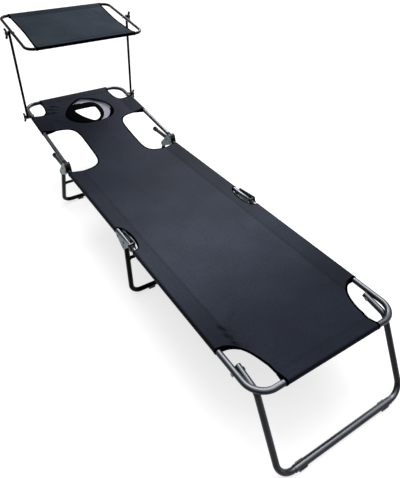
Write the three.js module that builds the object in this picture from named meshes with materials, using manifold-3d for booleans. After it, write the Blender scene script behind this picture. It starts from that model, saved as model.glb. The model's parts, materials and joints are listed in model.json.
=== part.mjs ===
// Folding sun lounger with a tilting canopy: three fabric panels on a hinged tube frame, three folding
// legs, a face opening with a pad, and a canopy on two clamped posts. Millimetres, +Z up.
// X runs across the bed, Y from the foot end to the head end, and the rails' centres set the levels.

import * as THREE from 'three';
import { mergeVertices } from 'three/addons/utils/BufferGeometryUtils.js';
import Module from 'manifold-3d';

const wasm = await Module();
wasm.setup();

// Driving sizes of the frame
const RAIL_SPACING = 530;
const RAIL_TUBE = 19;
const FOOT_LENGTH = 701;
const MIDDLE_LENGTH = 631;
const HEAD_LENGTH = 585;
const FRAME_CORNER_RADIUS = 60;
const RAIL_HEIGHT = 268;
const HEAD_TILT = THREE.MathUtils.degToRad(7);
const STUB_LENGTH = 172;

// Clearances and overruns
const RUNNING_GAP = 0.3;
const SIDE_GAP = 0.4;
const BUTT_GAP = 1;
const CUT_OVERRUN = 20;

// Legs
const LEG_TUBE = 19;
const LEG_BEND_RADIUS = 38;
const FOOT_LEG_SIDE_GAP = 0.5;
const FOOT_LEG_ARM_SLOPE = THREE.MathUtils.degToRad(11);
const FOOT_LEG_LEAN = THREE.MathUtils.degToRad(29.3);
const FOOT_LEG_ARM_BEND_RADIUS = 30;
const FOOT_LEG_BEND_RADIUS = 48;
const FOOT_LEG_PIVOT_FROM_END = 92;
const FOOT_LEG_STUB = 15;
const CROSSBAR_TUBE = 22;
const CROSSBAR_LENGTH = 390;
const CROSSBAR_SOCKET = 42;
const CROSSBAR_OVERLAP = 38;
const CROSSBAR_PAD_INSET = 27;
const MIDDLE_LEG_OFFSET = 46;
const MIDDLE_LEG_PIVOT_DROP = 23;
const MIDDLE_LEG_LEAN = THREE.MathUtils.degToRad(-1.5);
const MIDDLE_STRUT_DROP = 62;
const HEAD_LEG_OFFSET = 74;
const HEAD_LEG_PIVOT_DROP = 40;
const HEAD_LEG_LEAN = THREE.MathUtils.degToRad(24.3);
const HEAD_STRUT_DROP = 92;
const STRUT_TUBE = 13;
const LEG_END_ABOVE_PIVOT = 9;
const PAD_SOLE = 3.5;
const PAD_LENGTH = 26;
const PAD_WALL = 1.8;
const PAD_OFFSET = 182;

// Hinge hardware
const PLATE_THICKNESS = 2;
const EAR_THICKNESS = 1.2;
const FOLD_PIN = 6;
const LEG_PIN = 8;
const PIN_HEAD = 13;
const PIN_HEAD_HEIGHT = 2.2;
const PIN_EDGE_SHARE = 0.35;
const PIN_CROWN_SHARE = 0.5;
const PIN_ABOVE_TUBE = 1;
const FOLD_PLATE_TOP_ROUND = 8;
const FOLD_PLATE_LENGTH = 96;
const FOLD_PLATE_END_ROUND = 9;
const FOLD_PLATE_LEG_ROUND = 11;
const FOLD_SLOT_COUNT = 4;
const FOLD_SLOT_WIDTH = 3.4;
const FOLD_SLOT_HEIGHT = 15;
const FOLD_SLOT_PITCH = 12;
const FOLD_SLOT_EXPONENT = 4;
const FOLD_RIVET_OFFSETS = [38, 84];
const COLLAR_LENGTH = 14;
const COLLAR_FROM_PIN = 4;
const EAR_ROUND = 6.5;
const HEAD_RISE = 24;
const HEAD_PLATE_TOP_ROUND = 15;
const HEAD_PLATE_FOOT_ROUND = 9;
const HEAD_PLATE_FOOT_OFFSET = 12;
const HEAD_PLATE_LEG_ROUND = 12;
const HEAD_RIVET_OFFSETS = [-4, 32];
const RIVET_HEAD = 11;
const RIVET_HEAD_HEIGHT = 1.6;
const DIMPLE = 14;
const KNUCKLE_RADIUS = 13.5;
const KNUCKLE_SLEEVE = 30;
const RAIL_END_PAST_PIN = 6;
const CAP_WALL = 1.6;
const CAP_DEPTH = 18;
const PLUG_SPIGOT = 6;
const PLUG_BORE = 15;
const PLUG_FLANGE = 2.4;
const PLUG_CROWN_SHARE = 0.7;

// Fabric
const CLOTH = 1.2;
const SEAM_INSET = 57;
const END_SEAM_INSET = 34;
const CORNER_CUT_INSET = 89;
const CORNER_CUT_LENGTH = 172;
const CORNER_CUT_EXPONENT = 2.4;
const HEAD_CORNER_CUT_INSET = 80;
const HEAD_CORNER_CUT_LENGTH = 144;
const HEAD_CORNER_CUT_EXPONENT = 4;
const HINGE_CUT_DEPTH = 33;
const HINGE_CUT_LENGTH = 150;
const HINGE_CUT_OFFSET = 41;
const HINGE_CUT_EXPONENT = 2;
const ARM_CUT_INSET = 150;
const ARM_CUT_WIDEST = 100;
const ARM_CUT_DOWN = 140;
const ARM_CUT_UP = 188;
const ARM_CUT_DOWN_EXPONENT = 5;
const ARM_CUT_UP_EXPONENT = 5;
const TONGUE_GAP = 5;
const FACE_HOLE_HALF_WIDTH = 122;
const FACE_HOLE_SHIFT = 8;
const FACE_HOLE_WIDEST = 396;
const FACE_HOLE_DOWN = 102;
const FACE_HOLE_UP = 150;
const FACE_HOLE_DOWN_EXPONENT = 2.3;
const FACE_HOLE_UP_EXPONENT = 1.45;

// Face pad under the opening
const FACE_PAD_THICKNESS = 15;
const FACE_PAD_SHIFT = -18;
const FACE_PAD_HALF_WIDTH = 104;
const FACE_PAD_WIDEST = 412;
const FACE_PAD_REACH = 112;
const FACE_PAD_EXPONENT = 2.2;
const FACE_PAD_OPENING_SHIFT = 9;
const FACE_PAD_OPENING_HALF_WIDTH = 56;
const FACE_PAD_OPENING_WIDEST = 448;
const FACE_PAD_OPENING_UP = 20;
const FACE_PAD_OPENING_DOWN = 124;
const FACE_PAD_OPENING_UP_EXPONENT = 2.6;
const FACE_PAD_OPENING_DOWN_EXPONENT = 1.6;
const FACE_PAD_SECTION_EXPONENT = 2.6;

// Canopy and posts
const POST_TUBE = 12;
const POST_LENGTH = 398;
const POST_END = 9;
const POST_FROM_PIN = 475;
const POST_LEAN = THREE.MathUtils.degToRad(3.7);
const CLAMP_GAP = 4;
const CLAMP_LENGTH = 26;
const CLAMP_HEIGHT = 15;
const CANOPY_TUBE = 13;
const CANOPY_LENGTH = 394;
const CANOPY_CORNER_RADIUS = 38;
const CANOPY_TILT = THREE.MathUtils.degToRad(8.2);
const CANOPY_FABRIC_MARGIN = 41;
const CANOPY_SEAM_INSET = 30;
const CANOPY_CLOTH = 1;
const BOLT = 6;
const BOLT_HEAD = 12;
const BOLT_HEAD_HEIGHT = 3;
const BOLT_CROWN_SHARE = 0.7;

// Wing knobs
const KNOB_HUB = 16;
const KNOB_HUB_LENGTH = 12;
const KNOB_SHOULDER_SHARE = 0.75;
const KNOB_SPAN = 46;
const KNOB_WING_THICKNESS = 5;
const KNOB_WING_TIP = 10;
const KNOB_WING_ROOT = 8;
const KNOB_WING_RISE = 9;
const KNOB_BORE_DEPTH = 8;

// Facets
const TUBE_SIDES = 16;
const SLIM_SIDES = 12;
const PIN_SIDES = 10;
const BEND_STEPS = 5;
const ARC_STEPS = 5;
const SLOT_STEPS = 12;
const POCKET_STEPS = 9;
const CUT_STEPS = 32;
const PAD_STEPS = 36;
const PAD_SECTION_STEPS = 10;
const KNOB_ARC_STEPS = 4;
const MERGE_DISTANCE = 0.0001;

// Values that follow from the driving sizes
const RAIL_X = RAIL_SPACING / 2;
const RAIL_RADIUS = RAIL_TUBE / 2;
const LEG_RADIUS = LEG_TUBE / 2;
const CROSSBAR_RADIUS = CROSSBAR_TUBE / 2;
const FOLD_Y = FOOT_LENGTH;
const FOLD_RISE = RAIL_RADIUS + FOLD_PIN / 2 + PIN_ABOVE_TUBE;
const HEAD_Y = FOOT_LENGTH + MIDDLE_LENGTH;
const EAR_INSIDE = RAIL_RADIUS + RUNNING_GAP;
const EAR_OUTSIDE = EAR_INSIDE + EAR_THICKNESS;
const PLATE_INSIDE = EAR_OUTSIDE + SIDE_GAP;
const PLATE_OUTSIDE = PLATE_INSIDE + PLATE_THICKNESS;
const SLEEVE_INSIDE = RAIL_RADIUS + RUNNING_GAP;
const FOOT_LEG_X = RAIL_X - RAIL_RADIUS - FOOT_LEG_SIDE_GAP - LEG_RADIUS;
const CROSSBAR_DROP = RAIL_HEIGHT - PAD_SOLE - CROSSBAR_RADIUS;
const BAR_DROP = RAIL_HEIGHT - PAD_SOLE - LEG_RADIUS;
const MIDDLE_LEG_Y = FOLD_Y + MIDDLE_LEG_OFFSET;
const HEAD_LEG_Y = HEAD_Y + HEAD_LEG_OFFSET;
const POST_X = RAIL_X + RAIL_RADIUS + CLAMP_GAP + POST_TUBE / 2;
const CANOPY_X = POST_X - POST_TUBE / 2 - SIDE_GAP - CANOPY_TUBE / 2;
const SIDES = [['left', -1], ['right', 1]];

// Materials
const finish = (color, metalness, roughness) => (
  new THREE.MeshStandardMaterial({ color, metalness, roughness })
);
const STEEL = finish(0x5b6167, 0.8, 0.35);
const BRACKET = finish(0x77868c, 0.7, 0.45);
const DARK_STEEL = finish(0x2a2c2f, 0.6, 0.4);
const ZINC = finish(0xa9adb0, 0.85, 0.35);
const PLASTIC = finish(0x141516, 0, 0.55);
const FABRIC = finish(0x3b4048, 0, 0.85);
const PAD_CLOTH = finish(0x101113, 0, 0.9);

// Solids from geometries, and back
function solidOf(geometry) {
  const bare = geometry.index ? geometry.toNonIndexed() : geometry.clone();
  for (const name of Object.keys(bare.attributes)) {
    if (name !== 'position') bare.deleteAttribute(name);
  }
  const merged = mergeVertices(bare, MERGE_DISTANCE);
  return new wasm.Manifold(new wasm.Mesh({
    numProp: 3,
    vertProperties: new Float32Array(merged.attributes.position.array),
    triVerts: new Uint32Array(merged.index.array),
  }));
}

function geometryOf(solid) {
  const mesh = solid.getMesh();
  const geometry = new THREE.BufferGeometry();
  const points = new THREE.BufferAttribute(new Float32Array(mesh.vertProperties), 3);
  geometry.setAttribute('position', points);
  geometry.setIndex(new THREE.BufferAttribute(new Uint32Array(mesh.triVerts), 1));
  geometry.computeVertexNormals();
  return geometry;
}

const join = (solids) => solids.reduce((whole, next) => whole.add(next));
const cut = (solid, tools) => tools.reduce((rest, tool) => rest.subtract(tool), solid);

// A tube's centre line: straight runs between corners that are rounded with one bend radius each
class BentLine extends THREE.Curve {
  constructor(corners, radii) {
    super();
    this.stations = [{ point: corners[0], tangent: corners[1].clone().sub(corners[0]).normalize() }];
    for (let i = 1; i < corners.length - 1; i++) {
      const arriving = corners[i].clone().sub(corners[i - 1]).normalize();
      const leaving = corners[i + 1].clone().sub(corners[i]).normalize();
      const turn = arriving.angleTo(leaving);
      const setback = radii[i - 1] * Math.tan(turn / 2);
      const start = corners[i].clone().addScaledVector(arriving, -setback);
      const inward = leaving.clone().addScaledVector(arriving, -leaving.dot(arriving)).normalize();
      const centre = start.clone().addScaledVector(inward, radii[i - 1]);
      for (let step = 0; step <= BEND_STEPS; step++) {
        const angle = turn * step / BEND_STEPS;
        const point = centre.clone()
          .addScaledVector(inward, -radii[i - 1] * Math.cos(angle))
          .addScaledVector(arriving, radii[i - 1] * Math.sin(angle));
        const tangent = arriving.clone().multiplyScalar(Math.cos(angle))
          .addScaledVector(inward, Math.sin(angle));
        this.stations.push({ point, tangent });
      }
    }
    const last = corners.length - 1;
    this.stations.push({
      point: corners[last],
      tangent: corners[last].clone().sub(corners[last - 1]).normalize(),
    });
  }

  get steps() {
    return this.stations.length - 1;
  }

  // Each even share of the curve lands on one station, so that rings sit only where the tube turns
  stationAt(share) {
    return this.stations[Math.min(Math.round(share * this.steps), this.steps)];
  }

  getPointAt(share, target = new THREE.Vector3()) {
    return target.copy(this.stationAt(share).point);
  }

  getTangentAt(share, target = new THREE.Vector3()) {
    return target.copy(this.stationAt(share).tangent);
  }
}

function circle(radius, x = 0, y = 0) {
  return new THREE.Shape().absarc(x, y, radius, 0, 2 * Math.PI);
}

function tube(corners, radii, diameter, sides = TUBE_SIDES) {
  const line = new BentLine(corners, radii);
  const geometry = new THREE.ExtrudeGeometry(circle(diameter / 2), {
    steps: line.steps, curveSegments: sides / 2, bevelEnabled: false, extrudePath: line,
  });
  return solidOf(geometry);
}

// A round bar or hole along X, between two places across
function roundAlongX(diameter, fromX, toX, y, z, sides = SLIM_SIDES) {
  const geometry = new THREE.CylinderGeometry(diameter / 2, diameter / 2, Math.abs(toX - fromX), sides);
  geometry.rotateZ(Math.PI / 2).translate((fromX + toX) / 2, y, z);
  return solidOf(geometry);
}

// A turned solid whose axis is X: its outline is a list of [radius, distance along X]
function turnedAlongX(outline, sides = SLIM_SIDES) {
  const points = outline.map(([radius, along]) => new THREE.Vector2(radius, along));
  const geometry = new THREE.LatheGeometry(points, sides);
  geometry.rotateZ(-Math.PI / 2);
  return solidOf(geometry);
}

// A flat shape drawn in the YZ plane and thickened along X
function slabAcross(shape, fromX, toX, curveSegments = ARC_STEPS) {
  const low = Math.min(fromX, toX);
  const geometry = new THREE.ExtrudeGeometry(shape, {
    depth: Math.abs(toX - fromX), bevelEnabled: false, curveSegments,
  });
  geometry.applyMatrix4(new THREE.Matrix4().makeBasis(
    new THREE.Vector3(0, 1, 0), new THREE.Vector3(0, 0, 1), new THREE.Vector3(1, 0, 0),
  ));
  geometry.translate(low, 0, 0);
  return solidOf(geometry);
}

// A flat shape drawn in the XY plane and thickened along Z
function slabUp(shape, fromZ, toZ, curveSegments = ARC_STEPS) {
  const geometry = new THREE.ExtrudeGeometry(shape, {
    depth: toZ - fromZ, bevelEnabled: false, curveSegments,
  });
  return solidOf(geometry.translate(0, 0, fromZ));
}

// A flat shape drawn in the XZ plane and run along Y
function slabAlong(shape, fromY, toY, curveSegments = ARC_STEPS) {
  const geometry = new THREE.ExtrudeGeometry(shape, {
    depth: toY - fromY, bevelEnabled: false, curveSegments,
  });
  return solidOf(geometry.rotateX(Math.PI / 2).translate(0, toY, 0));
}

// The band that wraps a row of rounds, each [x, y, radius] in turn counter-clockwise
function wrapped(rounds) {
  const shape = new THREE.Shape();
  rounds.forEach(([x, y, radius], i) => {
    const [beforeX, beforeY, beforeRadius] = rounds[(i + rounds.length - 1) % rounds.length];
    const [afterX, afterY, afterRadius] = rounds[(i + 1) % rounds.length];
    const start = outerNormal(beforeX, beforeY, beforeRadius, x, y, radius);
    let end = outerNormal(x, y, radius, afterX, afterY, afterRadius);
    if (end < start) end += 2 * Math.PI;
    shape.absarc(x, y, radius, start, end);
  });
  return shape;
}

// The direction in which a line that touches two rounds on its left side faces outward
function outerNormal(x0, y0, r0, x1, y1, r1) {
  const along = Math.atan2(y1 - y0, x1 - x0);
  const lean = Math.asin((r1 - r0) / Math.hypot(x1 - x0, y1 - y0));
  const angle = along - Math.PI / 2 - lean;
  return angle < 0 ? angle + 2 * Math.PI : angle;
}

// A rectangle whose four corners are true quarter rounds
function roundedRectangle(x0, y0, x1, y1, radius) {
  return wrapped([
    [x1 - radius, y0 + radius, radius],
    [x1 - radius, y1 - radius, radius],
    [x0 + radius, y1 - radius, radius],
    [x0 + radius, y0 + radius, radius],
  ]);
}

// Groups follow the bodies of the folding frame
const lounger = new THREE.Group();
const middle = new THREE.Group();
const foot = new THREE.Group();
const head = new THREE.Group();
const posts = new THREE.Group();
const canopy = new THREE.Group();
lounger.add(middle, foot, head);
head.add(posts);
posts.add(canopy);
head.position.set(0, HEAD_Y, HEAD_RISE);
head.rotation.x = HEAD_TILT;
posts.position.set(0, POST_FROM_PIN, 0);
posts.rotation.x = POST_LEAN - HEAD_TILT;
canopy.position.set(0, 0, POST_LENGTH);
canopy.rotation.x = CANOPY_TILT - POST_LEAN;

function addPiece(group, name, solid, material) {
  const mesh = new THREE.Mesh(geometryOf(solid), material);
  mesh.name = name;
  group.add(mesh);
}

const at = (x, y, z) => new THREE.Vector3(x, y, z);

// Frame tubes

// A rail frame open at one end: two rails joined by an end bar with rounded corners
function railFrame(railEndY, endBarY) {
  const corners = [
    at(-RAIL_X, railEndY, 0), at(-RAIL_X, endBarY, 0), at(RAIL_X, endBarY, 0), at(RAIL_X, railEndY, 0),
  ];
  return tube(corners, [FRAME_CORNER_RADIUS, FRAME_CORNER_RADIUS], RAIL_TUBE);
}

// Where the foot leg passes under the rounded corner of the foot frame
const CORNER_CROSSING_Y = FRAME_CORNER_RADIUS
  - Math.sqrt(FRAME_CORNER_RADIUS ** 2 - (FRAME_CORNER_RADIUS - (RAIL_X - FOOT_LEG_X)) ** 2);
const ARM_DROP_AT_CROSSING = (RAIL_RADIUS + LEG_RADIUS + RUNNING_GAP) / Math.cos(FOOT_LEG_ARM_SLOPE);
const armZ = (y) => (y - CORNER_CROSSING_Y) * Math.tan(FOOT_LEG_ARM_SLOPE) - ARM_DROP_AT_CROSSING;
const FOOT_LEG_PIVOT_Z = armZ(FOOT_LEG_PIVOT_FROM_END);

// A hole for a pin or bolt across a rail
function acrossRail(side, diameter, y, z) {
  const inner = side * (RAIL_X - CUT_OVERRUN);
  const outer = side * (RAIL_X + CUT_OVERRUN);
  return roundAlongX(diameter + 2 * RUNNING_GAP, inner, outer, y, z);
}

function buildFootFrame() {
  const holes = SIDES.map(([, side]) => acrossRail(
    side, LEG_PIN, FOOT_LEG_PIVOT_FROM_END, FOOT_LEG_PIVOT_Z,
  ));
  addPiece(foot, 'foot_frame', cut(railFrame(FOLD_Y - BUTT_GAP / 2, 0), holes), STEEL);
}

function buildHeadFrame() {
  const holes = SIDES.flatMap(([, side]) => [
    acrossRail(side, LEG_PIN, 0, 0),
    acrossRail(side, BOLT, POST_FROM_PIN, 0),
  ]);
  addPiece(head, 'head_frame', cut(railFrame(-RAIL_END_PAST_PIN, HEAD_LENGTH), holes), STEEL);
}

function buildMiddleRails() {
  for (const [label, side] of SIDES) {
    const x = side * RAIL_X;
    const start = FOLD_Y + BUTT_GAP / 2;
    const end = HEAD_Y + STUB_LENGTH;
    addPiece(middle, `mid_rail_${label}`, tube([at(x, start, 0), at(x, end, 0)], [], RAIL_TUBE), STEEL);
    const inner = RAIL_RADIUS + RUNNING_GAP;
    const outer = inner + CAP_WALL;
    const cap = turnedAlongX([
      [0, CAP_WALL], [outer - CAP_WALL, CAP_WALL], [outer, 0], [outer, -CAP_DEPTH],
      [inner, -CAP_DEPTH], [inner, -RUNNING_GAP], [0, -RUNNING_GAP],
    ].reverse(), TUBE_SIDES);
    addPiece(middle, `mid_rail_cap_${label}`, alongY(cap, x, end + RUNNING_GAP, 0), PLASTIC);
  }
}

// Turns a solid made about the X axis to the Y axis, and places it
function alongY(solid, x, y, z) {
  return solid.rotate([0, 0, 90]).translate([x, y, z]);
}

// Hinge plates

function rivetedPlate(outline, holes, rivets, side, facing) {
  for (const hole of holes) outline.holes.push(hole);
  const centre = side * RAIL_X;
  const inside = centre + facing * PLATE_INSIDE;
  const outside = centre + facing * PLATE_OUTSIDE;
  const parts = [slabAcross(outline, inside, outside)];
  for (const [y, z] of rivets) {
    const middleX = (inside + outside) / 2;
    const seat = centre + facing * (RAIL_RADIUS + RUNNING_GAP);
    parts.push(roundAlongX(DIMPLE, seat, middleX, y, z, SLIM_SIDES));
    const top = outside + facing * RIVET_HEAD_HEIGHT;
    parts.push(roundAlongX(RIVET_HEAD, middleX, top, y, z, SLIM_SIDES));
  }
  return join(parts);
}

function buildFoldPlates() {
  for (const [label, side] of SIDES) {
    for (const [place, facing] of [['outer', side], ['inner', -side]]) {
      const tipY = FOLD_Y + FOLD_PLATE_LENGTH - FOLD_PLATE_END_ROUND;
      const outline = wrapped([
        [MIDDLE_LEG_Y, -MIDDLE_LEG_PIVOT_DROP, FOLD_PLATE_LEG_ROUND],
        [tipY, FOLD_PLATE_END_ROUND / 2, FOLD_PLATE_END_ROUND],
        [FOLD_Y, FOLD_RISE, FOLD_PLATE_TOP_ROUND],
      ]);
      const holes = [
        circle(FOLD_PIN / 2 + RUNNING_GAP, FOLD_Y, FOLD_RISE),
        circle(LEG_PIN / 2 + RUNNING_GAP, MIDDLE_LEG_Y, -MIDDLE_LEG_PIVOT_DROP),
      ];
      const rivets = FOLD_RIVET_OFFSETS.map((offset) => [FOLD_Y + offset, 0]);
      if (place === 'inner') {
        const middleY = FOLD_Y + (FOLD_RIVET_OFFSETS[0] + FOLD_RIVET_OFFSETS[1]) / 2;
        const first = middleY - FOLD_SLOT_PITCH * (FOLD_SLOT_COUNT - 1) / 2;
        rivets.pop();
        rivets[0][0] = FOLD_Y + FOLD_RIVET_OFFSETS[1];
        const slotRise = FOLD_SLOT_HEIGHT / 2;
        for (let i = 0; i < FOLD_SLOT_COUNT; i++) {
          holes.push(new THREE.Path(ovalPoints(
            first + i * FOLD_SLOT_PITCH, 0, FOLD_SLOT_WIDTH / 2, slotRise, slotRise,
            FOLD_SLOT_EXPONENT, FOLD_SLOT_EXPONENT, SLOT_STEPS,
          )));
        }
      }
      const plate = rivetedPlate(outline, holes, rivets, side, facing);
      addPiece(middle, `fold_plate_${place}_${label}`, plate, BRACKET);
    }
  }
}

function buildHeadPlates() {
  for (const [label, side] of SIDES) {
    for (const [place, facing] of [['outer', side], ['inner', -side]]) {
      const outline = wrapped([
        [HEAD_LEG_Y, -HEAD_LEG_PIVOT_DROP, HEAD_PLATE_LEG_ROUND],
        [HEAD_Y, HEAD_RISE, HEAD_PLATE_TOP_ROUND],
        [HEAD_Y - HEAD_PLATE_FOOT_OFFSET, 0, HEAD_PLATE_FOOT_ROUND],
      ]);
      const holes = [
        circle(LEG_PIN / 2 + RUNNING_GAP, HEAD_Y, HEAD_RISE),
        circle(LEG_PIN / 2 + RUNNING_GAP, HEAD_LEG_Y, -HEAD_LEG_PIVOT_DROP),
      ];
      const rivets = HEAD_RIVET_OFFSETS.map((offset) => [HEAD_Y + offset, 0]);
      const plate = rivetedPlate(outline, holes, rivets, side, facing);
      addPiece(middle, `head_plate_${place}_${label}`, plate, BRACKET);
    }
  }
}

// A pin with a domed head outside each plate
function headedPin(diameter, reach) {
  const head = PIN_HEAD / 2;
  const face = reach + RUNNING_GAP;
  const top = face + PIN_HEAD_HEIGHT;
  const crown = head * PIN_CROWN_SHARE;
  const edge = face + PIN_HEAD_HEIGHT * PIN_EDGE_SHARE;
  return turnedAlongX([
    [0, -top], [crown, -top], [head, -edge], [head, -face], [diameter / 2, -face],
    [diameter / 2, face], [head, face], [head, edge], [crown, top], [0, top],
  ], PIN_SIDES);
}

function buildPins() {
  const pins = [
    ['fold_pin', FOLD_PIN, FOLD_Y, FOLD_RISE],
    ['middle_leg_pin', LEG_PIN, MIDDLE_LEG_Y, -MIDDLE_LEG_PIVOT_DROP],
    ['head_pin', LEG_PIN, HEAD_Y, HEAD_RISE],
    ['head_leg_pin', LEG_PIN, HEAD_LEG_Y, -HEAD_LEG_PIVOT_DROP],
  ];
  for (const [label, side] of SIDES) {
    for (const [name, diameter, y, z] of pins) {
      const pin = headedPin(diameter, PLATE_OUTSIDE).translate([side * RAIL_X, y, z]);
      addPiece(middle, `${name}_${label}`, pin, ZINC);
    }
  }
}

// The collar welded round the foot rail, with two ears that carry the fold pin above the tubes
function buildFoldSaddles() {
  const collarEnd = FOLD_Y - COLLAR_FROM_PIN;
  const collarStart = collarEnd - COLLAR_LENGTH;
  for (const [label, side] of SIDES) {
    const x = side * RAIL_X;
    const ring = circle(EAR_OUTSIDE, x, 0);
    const parts = [slabAlong(ring, collarStart, collarEnd, TUBE_SIDES / 2)];
    for (const facing of [-1, 1]) {
      const ear = wrapped([
        [collarStart + EAR_ROUND, 0, EAR_ROUND],
        [collarEnd - EAR_ROUND, 0, EAR_ROUND],
        [FOLD_Y, FOLD_RISE, EAR_ROUND],
      ]);
      ear.holes.push(circle(FOLD_PIN / 2 + RUNNING_GAP, FOLD_Y, FOLD_RISE));
      parts.push(slabAcross(ear, x + facing * EAR_INSIDE, x + facing * EAR_OUTSIDE));
    }
    const bore = slabAlong(
      circle(EAR_INSIDE, x, 0), collarStart - CUT_OVERRUN, collarEnd + CUT_OVERRUN, TUBE_SIDES / 2,
    );
    addPiece(foot, `fold_saddle_${label}`, cut(join(parts), [bore]), PLASTIC);
  }
}

// The moulded knuckle on the lower end of each head rail, round about its pin
function buildKnuckles() {
  for (const [label, side] of SIDES) {
    const x = side * RAIL_X;
    const round = roundAlongX(2 * KNUCKLE_RADIUS, x - EAR_OUTSIDE, x + EAR_OUTSIDE, 0, 0);
    const sleeve = slabAlong(circle(EAR_OUTSIDE, x, 0), 0, KNUCKLE_SLEEVE, TUBE_SIDES / 2);
    const from = -RAIL_END_PAST_PIN - RUNNING_GAP;
    const to = KNUCKLE_SLEEVE + CUT_OVERRUN;
    const bore = slabAlong(circle(SLEEVE_INSIDE, x, 0), from, to, TUBE_SIDES / 2);
    const hole = roundAlongX(LEG_PIN + 2 * RUNNING_GAP, x - CUT_OVERRUN, x + CUT_OVERRUN, 0, 0);
    addPiece(head, `head_knuckle_${label}`, cut(round.add(sleeve), [bore, hole]), PLASTIC);
  }
}

// Legs

// A U leg hung from two pins: it leans from the vertical by lean, and a welded strut ties its sides
function hungLeg(pivotY, pivotDrop, lean, strutDrop) {
  const down = at(0, Math.sin(lean), -Math.cos(lean));
  const reach = (BAR_DROP - pivotDrop) / Math.cos(lean);
  const pivot = at(0, pivotY, -pivotDrop);
  const top = pivot.clone().addScaledVector(down, -LEG_END_ABOVE_PIVOT);
  const floor = pivot.clone().addScaledVector(down, reach);
  const strut = pivot.clone().addScaledVector(down, strutDrop);
  const corners = [
    at(-RAIL_X, top.y, top.z), at(-RAIL_X, floor.y, floor.z),
    at(RAIL_X, floor.y, floor.z), at(RAIL_X, top.y, top.z),
  ];
  const frame = tube(corners, [LEG_BEND_RADIUS, LEG_BEND_RADIUS], LEG_TUBE);
  const barEnds = [at(-RAIL_X, strut.y, strut.z), at(RAIL_X, strut.y, strut.z)];
  const bar = tube(barEnds, [], STRUT_TUBE, SLIM_SIDES);
  const holes = SIDES.map(([, side]) => acrossRail(side, LEG_PIN, pivotY, -pivotDrop));
  return { solid: cut(frame.add(bar), holes), floor };
}

// A plastic foot that clips round the underside of a bar and stands on a flat sole
function solePad(x, y, z, barRadius) {
  const grip = barRadius + RUNNING_GAP;
  const wall = grip + PAD_WALL;
  const shape = new THREE.Shape();
  shape.moveTo(y + wall, z);
  shape.lineTo(y + grip, z);
  shape.absarc(y, z, grip, 0, Math.PI, true);
  shape.lineTo(y - wall, z);
  shape.lineTo(y - wall + PAD_WALL, z - barRadius - PAD_SOLE);
  shape.lineTo(y + wall - PAD_WALL, z - barRadius - PAD_SOLE);
  shape.closePath();
  return slabAcross(shape, x - PAD_LENGTH / 2, x + PAD_LENGTH / 2);
}

function buildHungLegs() {
  const legs = [
    ['middle_leg', MIDDLE_LEG_Y, MIDDLE_LEG_PIVOT_DROP, MIDDLE_LEG_LEAN, MIDDLE_STRUT_DROP],
    ['head_leg', HEAD_LEG_Y, HEAD_LEG_PIVOT_DROP, HEAD_LEG_LEAN, HEAD_STRUT_DROP],
  ];
  for (const [name, pivotY, pivotDrop, lean, strutDrop] of legs) {
    const leg = hungLeg(pivotY, pivotDrop, lean, strutDrop);
    addPiece(middle, `${name}_frame`, leg.solid, DARK_STEEL);
    for (const [label, side] of SIDES) {
      const pad = solePad(side * PAD_OFFSET, leg.floor.y, leg.floor.z, LEG_RADIUS);
      addPiece(middle, `${name}_pad_${label}`, pad, PLASTIC);
    }
  }
}

function buildFootLeg() {
  const down = at(0, -Math.sin(FOOT_LEG_LEAN), -Math.cos(FOOT_LEG_LEAN));
  const along = at(0, Math.cos(FOOT_LEG_ARM_SLOPE), Math.sin(FOOT_LEG_ARM_SLOPE));
  const pivot = at(0, FOOT_LEG_PIVOT_FROM_END, FOOT_LEG_PIVOT_Z);
  const stub = pivot.clone().addScaledVector(along, FOOT_LEG_STUB);
  const elbowY = CORNER_CROSSING_Y + LEG_RADIUS;
  const elbow = at(0, elbowY, armZ(elbowY));
  const floorReach = (CROSSBAR_DROP + elbow.z) / Math.cos(FOOT_LEG_LEAN);
  const floor = elbow.clone().addScaledVector(down, floorReach);
  for (const [label, side] of SIDES) {
    const x = side * FOOT_LEG_X;
    const endX = side * (CROSSBAR_LENGTH / 2 - CROSSBAR_OVERLAP);
    const body = tube([
      at(x, stub.y, stub.z), at(x, elbow.y, elbow.z),
      at(x, floor.y, floor.z), at(endX, floor.y, floor.z),
    ], [FOOT_LEG_ARM_BEND_RADIUS, FOOT_LEG_BEND_RADIUS], LEG_TUBE);
    const hole = roundAlongX(
      LEG_PIN + 2 * RUNNING_GAP, x - CUT_OVERRUN, x + CUT_OVERRUN, pivot.y, pivot.z,
    );
    const bore = tube([
      stub.clone().addScaledVector(along, -PLUG_SPIGOT - RUNNING_GAP).setX(x),
      stub.clone().addScaledVector(along, CUT_OVERRUN).setX(x),
    ], [], PLUG_BORE, SLIM_SIDES);
    addPiece(foot, `foot_leg_side_${label}`, cut(body, [hole, bore]), STEEL);
    addPiece(foot, `foot_leg_plug_${label}`, stubPlug(x, stub), PLASTIC);
    const padX = side * (CROSSBAR_LENGTH / 2 - CROSSBAR_PAD_INSET);
    const pad = solePad(padX, floor.y, floor.z, CROSSBAR_RADIUS);
    addPiece(foot, `foot_leg_pad_${label}`, pad, PLASTIC);
    const inner = RAIL_X - FOOT_LEG_X + LEG_RADIUS;
    addPiece(foot, `foot_leg_rivet_${label}`, sideRivet(side, inner, pivot), ZINC);
  }
  const barEnd = CROSSBAR_LENGTH / 2;
  const sockets = SIDES.map(([, side]) => roundAlongX(
    LEG_TUBE + 2 * RUNNING_GAP, side * (barEnd - CROSSBAR_SOCKET), side * (barEnd + CUT_OVERRUN),
    floor.y, floor.z, TUBE_SIDES,
  ));
  const bar = roundAlongX(CROSSBAR_TUBE, -barEnd, barEnd, floor.y, floor.z, TUBE_SIDES);
  addPiece(foot, 'foot_crossbar', cut(bar, sockets), STEEL);
}

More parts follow.
